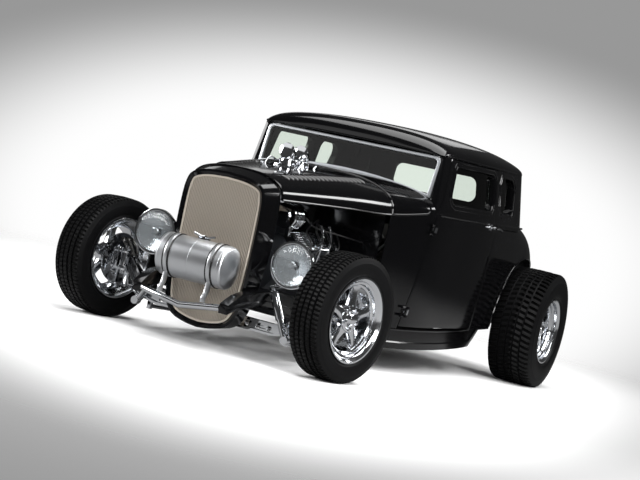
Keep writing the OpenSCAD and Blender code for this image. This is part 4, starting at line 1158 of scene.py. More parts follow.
@dataclass
class FrontBody:
    """Cowl, posts and the hood top with its louvres.

    Attributes:
        carb_hole: half width, front and rear of the hole for the carburettors.
        hole_r: radius of the hole's corners.
        louvres: number of louvres on each side.
        louvre_rows: stations of the first and last louvre.
        louvre_span: ends of a louvre on the hood's arch.
        louvre_section: a louvre's section as distance to the rear and height.
    """

    carb_hole: Point3 = (96, 330, 700)
    hole_r: float = 40
    louvres: int = 19
    louvre_rows: Point2 = (90, 750)
    louvre_span: Point2 = (0.52, 0.72)
    louvre_section: Table = ((-11, 0), (-4, 6.5), (7, 9), (9, 0))

    def build(self) -> None:
        """Builds the panels and their dress."""
        self._cowl()
        for side, tag in SIDES:
            self._post(side, tag)
        self._hood()
        self._beads()

    def _cowl(self) -> None:
        """Builds the cowl."""

        def at(s: float, y: float) -> Vector:
            side, t = mirrored(s)
            if t > 0.5:
                x, z = Form.hood(y, 2 * t - 1)
                return raked((side * x, y, z))
            x, foot = Form.hood(y, 0)
            z = Form.SILL + (foot - Form.SILL) * 2 * t
            tuck = Form.TUCK * ((foot - z) / (foot - Form.SILL)) ** 2
            return raked((side * (x - tuck), y, z))

        sheet = skin(at, spread(0, 1, 112), spread(Form.COWL_Y, Form.COWL_REAR, 26), (0, 1000, 500))
        outline = [
            (Form.COWL_Y - 1, 150),
            (Form.door_front(150) - Form.GAP, 150),
            (Form.door_front(Form.BELT) - Form.GAP, Form.BELT),
            (Form.ws_at(-40, -10.4)[0], Form.ws_at(-40, 0)[1]),
            Form.ws_at(80, -10.4),
            (Form.COWL_Y - 1, 1100),
        ]
        keep = prism(outline, 0, -Form.WIDE, Form.WIDE)
        panel(Piece("cowl_panel", Slot.BODY, "root", ("cowl",)), [sheet], thickness=0.01, keeps=[keep])

    def _post(self, side: int, tag: str) -> None:
        """Builds one windshield post with the fixed hinge halves.

        Args:
            side: 1 for the left, -1 for the right.
            tag: side's name.
        """
        low, high, gap = Form.BELT - 90, Form.DRIP - 0.4, Form.GAP
        top = Form.DRIP - Form.WS_FOOT[1]
        post = [
            (Form.door_front(low) - gap, low),
            (Form.door_front(Form.BELT) - gap, Form.BELT),
            (Form.ws_at(0, Form.POST_DEPTH)[0] - gap, Form.WS_FOOT[1]),
            (Form.ws_at(top, Form.POST_DEPTH)[0] - gap, high),
            (Form.ws_at(top, -10)[0], high),
            (Form.ws_at(-70, -10)[0], low),
        ]
        sheet = skin(
            lambda y, z: raked((side * Form.side_x(y, max(z, Form.BELT + 0.01)), y, z)),
            spread(1040, 1280, 24),
            spread(700, Form.DRIP + 30, 30),
            (0, 1150, 900),
        )
        keep = prism(post, 0, side * 400, side * Form.WIDE)
        panel(Piece(f"post_{tag}", Slot.BODY), [sheet], thickness=0.04, keeps=[keep])
        ends, run = Moulding.hinges()
        barrels, straps = [], []
        for mid in (end + run * offset for end in ends for offset in (-22.5, 22.5)):
            barrels.append([on_side(side, p) for p in (mid - run * 7, mid + run * 7)])
            straps.append([on_side(side, mid - Vector(d)) for d in ((6, 2, 0), (14, 40, 0))])
        bead(Piece(f"hinge_{tag}_barrels", Slot.BODY), barrels, Moulding.BARREL_R)
        bead(Piece(f"hinge_{tag}_straps", Slot.BODY), straps, radius=0.007)

    def _hood(self) -> None:
        """Builds the hood top, its hole for the carburettors and its louvres."""

        def at(s: float, y: float) -> Vector:
            side, t = mirrored(s)
            x, z = Form.hood(y, t)
            return raked((side * x, y, z))

        sheet = skin(at, spread(0, 1, 72), spread(-45.6, Form.COWL_Y - 3, 60), (0, 400, 500))
        half, front, rear = self.carb_hole
        corners = ((-half, front), (half, front), (half, rear), (-half, rear))
        hole = prism(rounded([(x, y, self.hole_r) for x, y in corners]), 2, 700, 1200)
        piece = Piece("hood_panel", Slot.BODY, "root", ("hood_top",))
        panel(piece, [sheet], thickness=0.008, cuts=[hole], bevel=0.002)
        whole = bmesh.new()
        for side in (-1, 1):
            for y in spread(*self.louvre_rows, self.louvres - 1):
                self._louvre(whole, side, y)
        Piece("hood_louvres", Slot.BODY, sharp=50).of(whole)

    def _louvre(self, bm: BMesh, side: int, y: float) -> None:
        """Adds one pressed louvre to the hood.

        Args:
            bm: mesh to add to.
            side: 1 for the left, -1 for the right.
            y: station.
        """
        steps, wide = 8, len(self.louvre_section)
        made = []
        for i, s in enumerate(spread(*self.louvre_span, steps)):
            rise = math.sin(math.pi * i / steps) ** 0.6
            x, z = Form.hood(y, s)
            q = s * math.pi / 2
            out = Vector((side * math.cos(q) * 0.5, 0, math.sin(q))).normalized()
            for depth, lift in self.louvre_section:
                made.append(bm.verts.new(raked(Vector((side * x, y + depth, z)) + out * (lift * rise - 0.5))))
        for i in range(steps):
            for a in range(i * wide, i * wide + wide - 1):
                ring = [made[k] for k in (a, a + 1, a + 1 + wide, a + wide)]
                bm.faces.new(ring if side < 0 else ring[::-1])

    def _beads(self) -> None:
        """Lays the hood's lower moulding, its teardrop end and the cowl's seam bead."""
        rear, turn = 1040, 34
        line = [(Form.hood(y, 0)[0], y, hermite(y, Form.HOOD_FOOT) + 3) for y in spread(-40, rear, 44)]
        low = line[-1][2]
        bend = spread(0, math.pi, 12)[1:]
        back = [(rear + turn * math.sin(q), low + turn * (1 - math.cos(q))) for q in bend]
        back += [(y, low + 2 * turn - (rear - y) * 0.05) for y in spread(1030, 860, 12)]
        line += [(Form.hood_x(y, z), y, z) for y, z in back]
        for side, tag in SIDES:
            bead(Piece(f"hood_moulding_{tag}", Slot.BODY), [[on_side(side, p) for p in line]], radius=0.006)
        half = [Form.hood(Form.COWL_Y, s) for s in spread(0, 1, 30)]
        seam = half + [(-x, z) for x, z in half[-2::-1]]
        bead(Piece("cowl_seam", Slot.BODY), [[raked((x, Form.COWL_Y, z)) for x, z in seam]], radius=0.0045)


@dataclass
class RearBody:
    """Quarter panels, tail, deck lid, cabin wall and roof.

    Attributes:
        seam: half width at the seams between quarters and tail.
        lid: deck lid's corners as x, station and radius.
        axle: station and height of the rear axle.
        arch: radius of the wheel arches.
        tub: half width at the inner walls of the arches.
        quarter_window: corners as station, height and radius.
        back_window: corners as x, height and radius.
    """

    seam: float = 500
    lid: tuple[Point3, ...] = ((-440, 2622, 50), (440, 2622, 50), (370, 3120, 80), (-370, 3120, 80))
    axle: Point2 = (2705.36, 247.23)
    arch: float = 413
    tub: float = 572
    quarter_window: tuple[Point3, ...] = (
        (1988, 914, 44), (1988, 1120, 44), (2262, 1116, 60), (2220, 914, 44),
    )
    back_window: tuple[Point3, ...] = ((-300, 936, 50), (300, 936, 50), (280, 1092, 50), (-280, 1092, 50))

    LINING, TAIL_FRONT, LAST_Y = 46.0, 2540.0, 3264.0
    LID_LOW, LID_HIGH = 420.0, 1120.0
    HINGE_X, HINGE_Y, HINGE_UP = 300.0, 2620.0, 7.0
    WELL_FRONT, WELL_REAR, WELL_LOW = 2310.0, 3050.0, 300.0

    def build(self) -> None:
        """Builds the panels and their dress."""
        for side, tag in SIDES:
            self._quarter(side, tag)
        self._tail()
        self._cabin()
        self._roof()

    @staticmethod
    def _sheet(side: int, front: float) -> BMesh:
        """Half of the rear body's surface.

        Args:
            side: 1 for the left, -1 for the right.
            front: first station.

        Returns:
            The sheet.
        """

        def at(s: float, y: float) -> Vector:
            x, z = Form.rear(y, s)
            return raked((side * x, y, z))

        stations = spread(front, 3000, 52) + spread(3012, RearBody.LAST_Y, 24)
        return skin(at, spread(0, 1, 60), stations, (0, 2700, 400))

    @staticmethod
    def _inside() -> Object:
        """Cutter for the cabin's inside.

        Returns:
            The cutter.
        """

        def at(u: float, y: float) -> Vector:
            x = Form.plan_x(y) - RearBody.LINING
            loop = ((x, 0), (x, 1100), (-x, 1100), (-x, 0))
            px, pz = loop[round(u) % 4]
            return raked((px, y, pz))

        bm = grid_mesh(at, range(5), spread(1890, Form.CABIN_REAR + 11, 16))
        bmesh.ops.holes_fill(bm, edges=[e for e in bm.edges if e.is_boundary])
        bmesh.ops.recalc_face_normals(bm, faces=bm.faces)
        return new_object("cutter", bm)

    @staticmethod
    def _block(front: float, low: float, high: float) -> Object:
        """Cutter for everything behind a station, between two planes.

        Args:
            front: first station.
            low: x of the first plane.
            high: x of the second plane.

        Returns:
            The cutter.
        """
        return prism([(front, 0), (3400, 0), (3400, 1200), (front, 1200)], 0, low, high)

    def _quarter(self, side: int, tag: str) -> None:
        """Builds one quarter panel with its wheel arch, tub and belt.

        Args:
            side: 1 for the left, -1 for the right.
            tag: side's name.
        """
        sheet = self._sheet(side, Form.DOOR_REAR + Form.GAP)
        keep = self._block(1900, side * self.seam, side * Form.WIDE)
        hole = prism(circle(*self.axle, self.arch), 0, side * self.tub, side * Form.WIDE)
        piece = Piece(f"quarter_{tag}", Slot.BODY, "root", ("quarter_panels",))
        cuts = [self._inside(), hole]
        panel(piece, [sheet], thickness=0.022, cuts=cuts, keeps=[keep], bevel=0.003)
        lip = sorted(p for p in circle(*self.axle, self.arch + 3, 120) if p[1] > Form.rear(p[0], 0)[1])
        path = [raked((side * (Form.rear_x(y, z) - 1), y, z)) for y, z in lip]
        bead(Piece(f"arch_lip_{tag}", Slot.BODY), [path], radius=0.006)
        self._tub(side, tag)
        Moulding.belt(Piece(f"belt_{tag}", Slot.BODY), side, spread(1920, 2440, 26))

    def _tub(self, side: int, tag: str) -> None:
        """Closes the wheel arch with an inner wall and a curved roof.

        Args:
            side: 1 for the left, -1 for the right.
            tag: side's name.
        """
        cy, cz = self.axle
        ring = sorted(
            (y, z)
            for y, z in circle(cy, cz, self.arch + 1, 144)
            if z >= self.WELL_LOW and self.WELL_FRONT <= y <= self.WELL_REAR
        )
        bm = bmesh.new()
        inner, outer = [], []
        for y, z in ring:
            inner.append(bm.verts.new(raked((side * (self.tub + 11), y, z))))
            outer.append(bm.verts.new(raked((side * max(self.tub + 20, Form.rear_x(y, z) - 12), y, z))))
        for i in range(len(ring) - 1):
            bm.faces.new((inner[i], inner[i + 1], outer[i + 1], outer[i]))
        bm.faces.new(inner)
        face_out(bm, raked((side * 700, cy, cz + 500)))
        bmesh.ops.solidify(bm, geom=bm.faces[:], thickness=0.003)
        # the tub's dull near-black is partly painted shade of the arch
        Piece(f"tub_{tag}", Slot.FRAME).of(bm, ARCH)

    def _tail(self) -> None:
        """Builds the tail panel and the deck lid with its hinges and handle."""
        low, high, gap = self.LID_LOW, self.LID_HIGH, Form.GAP
        middle = sum(row[1] for row in self.lid) / len(self.lid)
        inner = [(x - math.copysign(gap, x), y - math.copysign(gap, y - middle), r) for x, y, r in self.lid]
        tail, lid = ([self._sheet(side, Form.CABIN_REAR) for side in (1, -1)] for _ in range(2))
        hole = prism(rounded(self.lid), 2, low, high)
        keep = self._block(self.TAIL_FRONT, 1 - self.seam, self.seam - 1)
        piece = Piece("tail", Slot.BODY, "root", ("tail_panel",))
        panel(piece, tail, thickness=0.02, cuts=[hole], keeps=[keep], bevel=0.003)
        piece = Piece("deck_lid_panel", Slot.BODY, "deck_lid", ("deck_lid",))
        panel(piece, lid, thickness=0.018, keeps=[prism(rounded(inner), 2, low, high)], bevel=0.003)
        hinge_z = hermite(self.lid[0][1], Form.REAR_TOP) + self.HINGE_UP
        barrels = (("fixed", "root", ((-35, -19), (19, 35))), ("lid", "deck_lid", ((-18, 18),)))
        for tag, body, spans in barrels:
            paths = [
                [raked((x + d, self.HINGE_Y, hinge_z)) for d in span]
                for x in (-self.HINGE_X, self.HINGE_X)
                for span in spans
            ]
            bead(Piece(f"lid_hinges_{tag}", Slot.BRIGHT, body), paths, radius=0.008)
        grip = ((-60, 3085, 676), (-52, 3098, 690), (0, 3104, 694), (52, 3098, 690), (60, 3085, 676))
        bead(Piece("lid_handle", Slot.BRIGHT, "deck_lid"), [raked_path(grip)], radius=0.007)

    def _cabin(self) -> None:
        """Builds the wall that wraps round the cabin's rear."""
        front, corner, flat = Form.DOOR_REAR + Form.GAP, Form.CORNER_Y, 0.4

        def at(u: float, z: float) -> Vector:
            side, t = mirrored(u)
            above = max(z, Form.BELT + 0.01)
            if t <= flat:
                y = front + (corner - front) * t / flat
                return raked((side * Form.side_x(y, above), y, z))
            a, b = boxy((t - flat) / (1 - flat), Form.WRAP_POWER)
            return raked((side * a * Form.side_x(corner, above), corner + b * (Form.back_y(z) - corner), z))

        sheet = skin(at, spread(0, 1, 150), spread(Form.BELT - 20, Form.DRIP - 0.4, 22), (0, 2200, 1000))
        cuts = [
            prism(rounded(self.quarter_window), 0, -Form.WIDE, Form.WIDE),
            prism(rounded(self.back_window), 1, 2420, 2700),
        ]
        piece = Piece("cabin_wall", Slot.BODY, "root", ("upper_body",))
        panel(piece, [sheet], thickness=0.04, cuts=cuts)
        for side, tag in SIDES:
            Moulding.side_window(Piece(f"quarter_reveal_{tag}", Slot.BODY), self.quarter_window, side)
        Moulding.window(
            Piece("back_reveal", Slot.BODY), self.back_window, lambda x, z: raked((x, Form.back_y(z, x), z))
        )

    @staticmethod
    def _roof() -> None:
        """Builds the roof with its drip mouldings."""

        def at(s: float, y: float) -> Vector:
            side, t = mirrored(s)
            x, z = Form.roof(y, t)
            return raked((side * x, y, z))

        front = spread(1158, 1216, 14) + spread(1222, 1260, 5)
        sheet = skin(
            at, spread(0, 1, 96), front + spread(1280, 2250, 40) + spread(2262, 2530, 34), (0, 1850, 1000)
        )
        panel(Piece("roof_panel", Slot.BODY, "root", ("roof",)), [sheet], thickness=0.022, bevel=0.002)
        rail = [(Form.roof(y, 0)[0] + 1, y, Form.DRIP + 2) for y in spread(1180, Form.CORNER_Y, 40)]
        for side, tag in SIDES:
            bead(Piece(f"drip_{tag}", Slot.BODY), [[on_side(side, p) for p in rail]], radius=0.006)


@dataclass
class Tyre:
    """One tyre with ribs, slots and sidewall rings, in millimetres.

    Attributes:
        body: CAD body that it turns with.
        node: CAD node that it stands for.
        centre: wheel centre.
        turn: steering angle in degrees.
        width: tyre width.
        radius: outer radius.
        blocks: number of tread blocks round the tyre.
        ribs: rib edges as shares of the width.
        skew: slant of the slots, in blocks across the tread.
        slot_depth: depth of the slots.
    """

    body: str
    node: str
    centre: Point3
    turn: float
    width: float
    radius: float
    blocks: int
    ribs: Table
    skew: float
    slot_depth: float = 3.0

    BEAD = 192.4
    LIP = 206.0
    BLOCK = 0.84
    GROOVE = 8.0
    EDGE = 0.39
    RIM_ROWS = (
        (0.43, 2), (0.452, 6), (0.475, 13), (0.481, 14), (0.49, 22), (0.497, 31), (0.4985, 33),
    )
    WALL_ROWS = ((0.5, 0.5), (0.4965, 0.62), (0.492, 0.70), (0.489, 0.71), (0.478, 0.80))
    SHOULDER = ((0.452, 9.5), (0.42, 4.2))

    def build(self) -> None:
        """Spins the profile and presses the slots."""
        profile = self._profile()
        tread = [*self.ribs, (self.EDGE, 0.458), (-0.458, -self.EDGE)]
        bm = bmesh.new()
        verts = [bm.verts.new((x, 0, r)) for x, r in profile]
        edges = [bm.edges.new((verts[i - 1], verts[i])) for i in range(len(verts))]
        steps = self.blocks * 2
        bmesh.ops.spin(
            bm, geom=verts + edges, axis=(1, 0, 0), angle=FULL_TURN, steps=steps, use_merge=True
        )
        bmesh.ops.remove_doubles(bm, verts=bm.verts, dist=0.05)
        step = FULL_TURN / steps
        slots = []
        for face in bm.faces:
            c = face.calc_center_median()
            odd = math.floor((math.atan2(c.z, c.y) % FULL_TURN) / step) % 2
            on_tread = any(a * self.width < c.x < b * self.width for a, b in tread)
            if odd and on_tread and abs(face.normal.x) < 0.75:
                slots.append(face)
        pressed = bmesh.ops.extrude_face_region(bm, geom=slots)["geom"]
        for vert in (g for g in pressed if isinstance(g, BMVert)):
            vert.co.yz *= 1 - self.slot_depth / vert.co.yz.length
        for vert in bm.verts:
            self._shape(vert, step)
        bmesh.ops.recalc_face_normals(bm, faces=bm.faces)
        turn = Matrix.Rotation(math.radians(self.turn), 4, "Z")
        seat = Matrix.Translation(level(self.centre)) @ turn @ Matrix.Scale(MM, 4)
        bmesh.ops.transform(bm, matrix=seat, verts=bm.verts)
        Piece(f"{self.node}_rubber", Slot.TYRE, self.body, (self.node,), sharp=16).of(bm)

    def _profile(self) -> list[Point2]:
        """Section of the tyre.

        Returns:
            Section points as axial place and radius.
        """
        w, r = self.width, self.radius
        half = [(0.43, self.BEAD)]
        half += [(f, self.LIP + up) for f, up in self.RIM_ROWS]
        half += [(f, self.BEAD + (r - self.BEAD) * share) for f, share in self.WALL_ROWS]
        half += [(f, r - drop) for f, drop in self.SHOULDER]
        crown: list[Point2] = []
        for a, b in reversed(self.ribs):
            drop = 3.0 * (max(abs(a), abs(b)) / 0.4) ** 2
            if b <= self.EDGE:
                crown.append((b, r - self.GROOVE))
            crown += [(b - 0.004, r - drop), ((a + b) / 2, r - drop * 0.8), (a + 0.004, r - drop)]
            if a >= -self.EDGE:
                crown.append((a, r - self.GROOVE))
        mirror = [(-f, z) for f, z in reversed(half)]
        return [(f * w, z) for f, z in half + crown + mirror]

    def _shape(self, vert: BMVert, step: float) -> None:
        """Narrows the slots and slants them.

        Args:
            vert: vertex to move round the tyre.
            step: angle of one block or slot before narrowing.
        """
        radius = vert.co.yz.length
        k = round(math.atan2(vert.co.z, vert.co.y) % FULL_TURN / step)
        angle = (k + (self.BLOCK if k % 2 else 0.0) + self.skew * abs(vert.co.x / self.width)) * step
        vert.co.y, vert.co.z = radius * math.cos(angle), radius * math.sin(angle)


class Tyres:
    """Sizes and places of the four tyres."""

    STEER = -11.5
    KINGPIN_X, SPINDLE, REAR_X, REAR_Y = 570.0, 108.0, 759.0, 2692.0
    FRONT_SIZE = (174.0, 306.0)
    REAR_SIZE = (290.0, 365.0)
    RIBS = ((-0.40, -0.283), (-0.237, -0.113), (-0.067, 0.067), (0.113, 0.237), (0.283, 0.40))
    BLOCKS = ((-0.40, -0.254), (-0.226, -0.094), (-0.066, 0.066), (0.094, 0.226), (0.254, 0.40))

    @classmethod
    def front(cls, side: int, tag: str) -> Tyre:
        """Front tyre of one side.

        Args:
            side: 1 for the left, -1 for the right.
            tag: side's name.

        Returns:
            The tyre.
        """
        turn, (width, radius) = math.radians(cls.STEER), cls.FRONT_SIZE
        out, along = cls.SPINDLE * math.cos(turn), cls.SPINDLE * math.sin(turn)
        centre = (side * (cls.KINGPIN_X + out), side * along, radius)
        return Tyre(
            f"front_{tag}_wheel", f"tyre_front_{tag}", centre, cls.STEER, width, radius,
            blocks=88, ribs=cls.RIBS, skew=2.0, slot_depth=1.4,
        )

    @classmethod
    def rear(cls, side: int, tag: str) -> Tyre:
        """Rear tyre of one side.

        Args:
            side: 1 for the left, -1 for the right.
            tag: side's name.

        Returns:
            The tyre.
        """
        width, radius = cls.REAR_SIZE
        centre = (side * cls.REAR_X, cls.REAR_Y, radius)
        return Tyre(
            f"rear_{tag}_wheel", f"tyre_rear_{tag}", centre, 0, width, radius,
            blocks=64, ribs=cls.BLOCKS, skew=4.0,
        )


@dataclass
class Headlamps:
    """Reflectors, bulbs and fluted glass of both headlamps.

    Attributes:
        at: centre of the left lamp's rim in millimetres.
        radius: radius of the glass.
        bulge: how far the glass stands out.
        bowl: depth of the reflector.
        shield: section of the bulb's shield as radius and depth.
    """

    at: Point3 = (387, -82, 483)
    radius: float = 101.0
    bulge: float = 15.5
    bowl: float = 17.0
    shield: Table = ((0, -4), (16, -3), (19, 0), (19, 8), (0, 9))

    def build(self) -> None:
        """Builds both lamps."""
        bowl = [(self.radius * t, 2 + self.bowl * (1 - t * t)) for t in spread(1, 0.0, 16)]
        dome = [
            (self.radius * math.cos(q), -self.bulge * math.sin(q)) for q in spread(math.pi / 2, 0, 14)
        ]
        glass = dome + [(r * 0.97, y + 2.6) for r, y in reversed(dome)]
        self._pair(Piece("lamp_bowls", Slot.BRIGHT), bowl)
        self._pair(Piece("lamp_bulbs", Slot.BRIGHT), self.shield)
        self._pair(Piece("lamp_glass", Slot.LAMP, "root", ("headlamp_lenses",)), glass)

    def _pair(self, piece: Piece, profile: Sequence[Point2]) -> None:
        """Spins a profile round both lamps' axes.

        Args:
            piece: piece to make.
            profile: points as radius and depth behind the rim.
        """
        bm = bmesh.new()
        for side in (-1, 1):
            cx, cy, cz = side * self.at[0], self.at[1], self.at[2]
            line = [level((cx + r, cy + y, cz)) for r, y in profile]
            turned(bm, line, level((cx, cy, cz)), (0, 1, 0), 72)
        piece.of(bm)


@dataclass
class EngineBay:
    """Wires, pipes and bolts round the engine.

    Attributes:
        middle: station of the heads' middle.
        bore_pitch: distance between cylinders.
        bolt_pitch: distance between flange bolts.
    """

    middle: float = 445
    bore_pitch: float = 112
    bolt_pitch: float = 104

    def build(self) -> None:
        """Builds the dress."""
        for side, tag in SIDES:
            self._plug_wires(side, tag)
        self._fuel_lines()
        self._hoses()
        self._bolts()

    def _plug_wires(self, side: int, tag: str) -> None:
        """Lays plug wires from one head to the distributor.

        Args:
            side: 1 for the left, -1 for the right.
            tag: side's name.
        """
        wires, boots = [], []
        for i in range(4):
            y = self.middle + (i - 1.5) * self.bore_pitch + 22
            run = ((236, y, 512), (268, y + 12, 530), (274, y + 40, 582), (220, y + 70, 640))
            end = (120, 690 - i * 6, 690 - i * 9)
            wires.append([on_side(side, p) for p in smooth_path((*run, end))])
            boots.append([on_side(side, p) for p in ((230, y, 508), (248, y + 3, 518))])
        bead(Piece(f"plug_wires_{tag}", Slot.GRIP), wires, radius=0.0045)
        bead(Piece(f"plug_boots_{tag}", Slot.BRIGHT), boots, radius=0.009)

    @staticmethod
    def _fuel_lines() -> None:
        """Bends the fuel lines that loop to the carburettors."""
        bends = ((54, -60, 905), (92, -64, 918), (98, -20, 962), (78, 20, 955), (60, 26, 925))
        paths = []
        for side in (-1, 1):
            for y in (436, 592):
                paths.append(raked_path([(side * a, y + b, c) for a, b, c in bends]))
        bead(Piece("fuel_lines", Slot.BRIGHT), paths, radius=0.0045)

    @staticmethod
    def _hoses() -> None:
        """Adds breather pipes, the upper radiator hose with its clips, and the alternator's wire."""
        bends = ((0, 0, 676), (22, 4, 610), (8, 8, 500), (-22, 12, 446))
        pipes = [raked_path([(x + a, y + b, c) for a, b, c in bends]) for x, y in ((262, 432), (258, 540))]
        bead(Piece("breather_pipes", Slot.BRIGHT), pipes, radius=0.007)
        hose = ((90, 232, 560), (96, 150, 640), (70, 60, 700), (60, -46, 715))
        bead(Piece("water_hose", Slot.GRIP), [raked_path(hose)], radius=0.019)
        wire = ((232, 226, 716), (250, 280, 700), (240, 420, 660), (300, 620, 640), (330, 835, 620))
        bead(Piece("alternator_wire", Slot.GRIP), [raked_path(wire)], radius=0.004)
        clips = (((70, 64, 698), (71, 50, 704)), ((95, 160, 632), (95, 148, 642)))
        bead(Piece("hose_clips", Slot.BRIGHT), [[raked(p) for p in clip] for clip in clips], radius=0.0205)

    def _bolts(self) -> None:
        """Sets cap bolts along the header flanges."""
        paths = []
        for side in (-1, 1):
            for i in range(-2, 3):
                base = Vector((232, self.middle + i * self.bolt_pitch, 447))
                paths.append([on_side(side, p) for p in (base, base + Vector((0.707, 0, -0.707)) * 16)])
        bead(Piece("flange_bolts", Slot.BRIGHT), paths, radius=0.007)


@dataclass
class Bench:
    """Padded bench seat with piping.

    Attributes:
        front: station of the cushion's front.
        half: half width.
        seat_z: height of the seat's foot.
        swell: how far the padding may swell, in millimetres.
        voxel: size of the padding's mesh in metres.
        pressure: force of the cloth's inflation.
        frames: steps of the cloth.
        fill: firmness, not used.
    """

    front: float = 1640
    half: float = Form.plan_x(1640) - 135
    seat_z: float = 403
    swell: float = 22
    voxel: float = 0.01
    pressure: float = 4.0
    frames: int = 20
    fill: float = 0.6

    def build(self) -> None:
        """Pads the cushion and the back, then lays the piping."""
        self._pad("seat_cushion", self._box(520, 140, 0, 0.0))
        self._pad("seat_back", self._box(110, 480, 524, -12.0))
        stations = spread(self.front + 24, self.front + 496, 8)
        paths = [[raked((k * 110, y, self.seat_z + 141)) for y in stations] for k in range(-4, 5)]
        bead(Piece("seat_piping", Slot.SEAT), paths, radius=0.005)

    def _box(self, depth: float, height: float, setback: float, lean: float) -> BMesh:
        """Box of one cushion, smaller by the swell, in the row frame.

        Args:
            depth: depth of the cushion.
            height: height of the cushion.
            setback: distance behind the seat's front.
            lean: lean to the rear in degrees.

        Returns:
            The box.
        """
        bm = bmesh.new()
        bmesh.ops.create_cube(bm, size=1)
        tilt = Matrix.Rotation(math.radians(lean), 4, "X")
        foot = Vector((0, self.front + setback, self.seat_z))
        inset = self.swell
        for vert in bm.verts:
            x = 2 * vert.co.x * (self.half - inset)
            y = inset + (depth - 2 * inset) * (vert.co.y + 0.5)
            z = inset + (height - 2 * inset) * (vert.co.z + 0.5)
            vert.co = raked(foot + tilt @ Vector((x, y, z)))
        return bm

    def _pad(self, name: str, bm: BMesh) -> None:
        """Inflates one cushion.

        Args:
            name: piece name.
            bm: box to inflate.
        """
        obj = new_object(name, bm)
        remesh = obj.modifiers.new("remesh", "REMESH")
        remesh.mode = "VOXEL"
        remesh.voxel_size = self.voxel
        bake(obj)
        self._inflate(obj)
        sub = obj.modifiers.new("fine", "SUBSURF")
        sub.levels = sub.render_levels = 1
        bake(obj)
        Piece(name, Slot.SEAT, "root", ("seat",), sharp=60).finish(obj)

    def _inflate(self, obj: Object) -> None:
        """Blows a cushion up as cloth, and caps how far it moves.

        Args:
            obj: cushion.
        """
        limit = self.swell * MM
        rest = [v.co.copy() for v in obj.data.vertices]
        cloth = obj.modifiers.new("cloth", "CLOTH")
        cloth.settings.use_pressure = True
        cloth.settings.uniform_pressure_force = self.pressure
        cloth.settings.effector_weights.gravity = 0.0
        scene = bpy.context.scene
        for step in range(1, self.frames + 1):
            scene.frame_set(step)
        bake(obj)
        scene.frame_set(1)
        for vert, start in zip(obj.data.vertices, rest):
            move = vert.co - start
            if move.length > limit:
                vert.co = start + move * (limit / move.length)


@dataclass
class Tank:
    """Spun front tank with its cap, handle and strap linings, in millimetres.

    Attributes:
        at: tank's middle.
        radius: radius of the barrel.
        barrel: length of the barrel.
        dome: how far each end stands out.
        edge: radius of the ends' rounded edges.
        linings: places of the strap linings along the tank.
        seams: places of the seams along the tank.
        cap_back: how far the cap sits behind the tank's top.
    """

    at: Point3 = (0, -284, 406)
    radius: float = 103
    barrel: float = 330
    dome: float = 46
    edge: float = 16
    linings: tuple[float, ...] = (-131, -105, 105, 131)
    seams: tuple[float, ...] = (-160, 0, 160)
    cap_back: float = 14

    def build(self) -> None:
        """Builds the tank and its dress."""
        half = self.barrel / 2
        curve = [
            (self.radius - self.edge * (1 - math.cos(q)), half + self.edge * math.sin(q))
            for q in spread(0, math.radians(75), 8)
        ]
        end = [*curve, (0, half + self.dome)]
        profile = [(r, -x) for r, x in reversed(end)] + end
        line = [level((x, self.at[1], self.at[2] + r)) for r, x in profile]
        bm = bmesh.new()
        turned(bm, line, level(self.at), (1, 0, 0), 96)
        Piece("tank_barrel", Slot.SPUN, "root", ("fuel_tank",), sharp=50).of(bm)
        linings = [self._ring(x) for x in self.linings]
        bead(Piece("strap_linings", Slot.GRIP), linings, radius=0.005, closed=True)
        seams = [self._ring(x) for x in self.seams]
        bead(Piece("tank_seams", Slot.SPUN), seams, radius=0.0011, closed=True)
        self._cap()

    def _ring(self, x: float) -> list[Vector]:
        """Ring round the tank.

        Args:
            x: place along the tank.

        Returns:
            The ring's points.
        """
        return [level((x, y, z)) for y, z in circle(self.at[1], self.at[2], self.radius, 72)]

    def _cap(self) -> None:
        """Adds the filler cap with its cross handle and boss."""
        for name, radius, rows in (
            ("filler_cap", 0.029, ((0, -8), (0, 7))),
            ("cap_handle", 0.006, ((-58, 22), (-22, 12), (22, 12), (58, 22))),
            ("cap_boss", 0.012, ((0, 6), (0, 12))),
        ):
            path = [level((x, self.at[1] + self.cap_back, self.at[2] + self.radius + up)) for x, up in rows]
            bead(Piece(name, Slot.BRIGHT), [path], radius)


class CadDress:
    """Gives every CAD node its finish, welded, with small rounded edges and smooth shading."""

    SMOOTH, ROUNDED = 32, 42
    ROUND: dict[str, float] = {
        "chassis_frame": 0.002, "spreader_bars": 0.002, "front_axle": 0.002, "intake": 0.0025,
        "engine_block": 0.004, "engine_dress": 0.002, "knuckle_left": 0.0015, "knuckle_right": 0.0015,
        "wheel_front_left": 0.002, "wheel_front_right": 0.002, "wheel_rear_left": 0.002,
        "wheel_rear_right": 0.002, "windshield_frame": 0.003, "tank_straps": 0.0006,
        "headlamp_shells": 0.0015, "dashboard": 0.004, "steering_wheel": 0.001,
    }
    OWN: dict[str, Finish] = {
        # the windshield frame's chrome has painted shade in its colour
        "grille_insert": GRILLE, "windshield_frame": RIM, "engine_dress": FINISHES[Slot.BRIGHT],
    }

    def dress(self) -> None:
        """Puts the finish and modifiers on each node."""
        slots = {s["node"]: Slot(s["material_slot"]) for s in frame["record"]["subparts"]}
        for name, obj in frame["nodes"].items():
            obj.data.materials.clear()
            obj.data.materials.append(PAINT.get(self.OWN.get(name, FINISHES[slots[name]])))
            weld = obj.modifiers.new("weld", "WELD")
            weld.merge_threshold = WELD
            if name in self.ROUND:
                round_edges(obj, self.ROUND[name], self.ROUNDED)
            for poly in obj.data.polygons:
                poly.use_smooth = True
            split = obj.modifiers.new("sharp", "EDGE_SPLIT")
            split.split_angle = math.radians(self.SMOOTH)
            log.info("%s: CAD node, %d faces", name, len(obj.data.polygons))


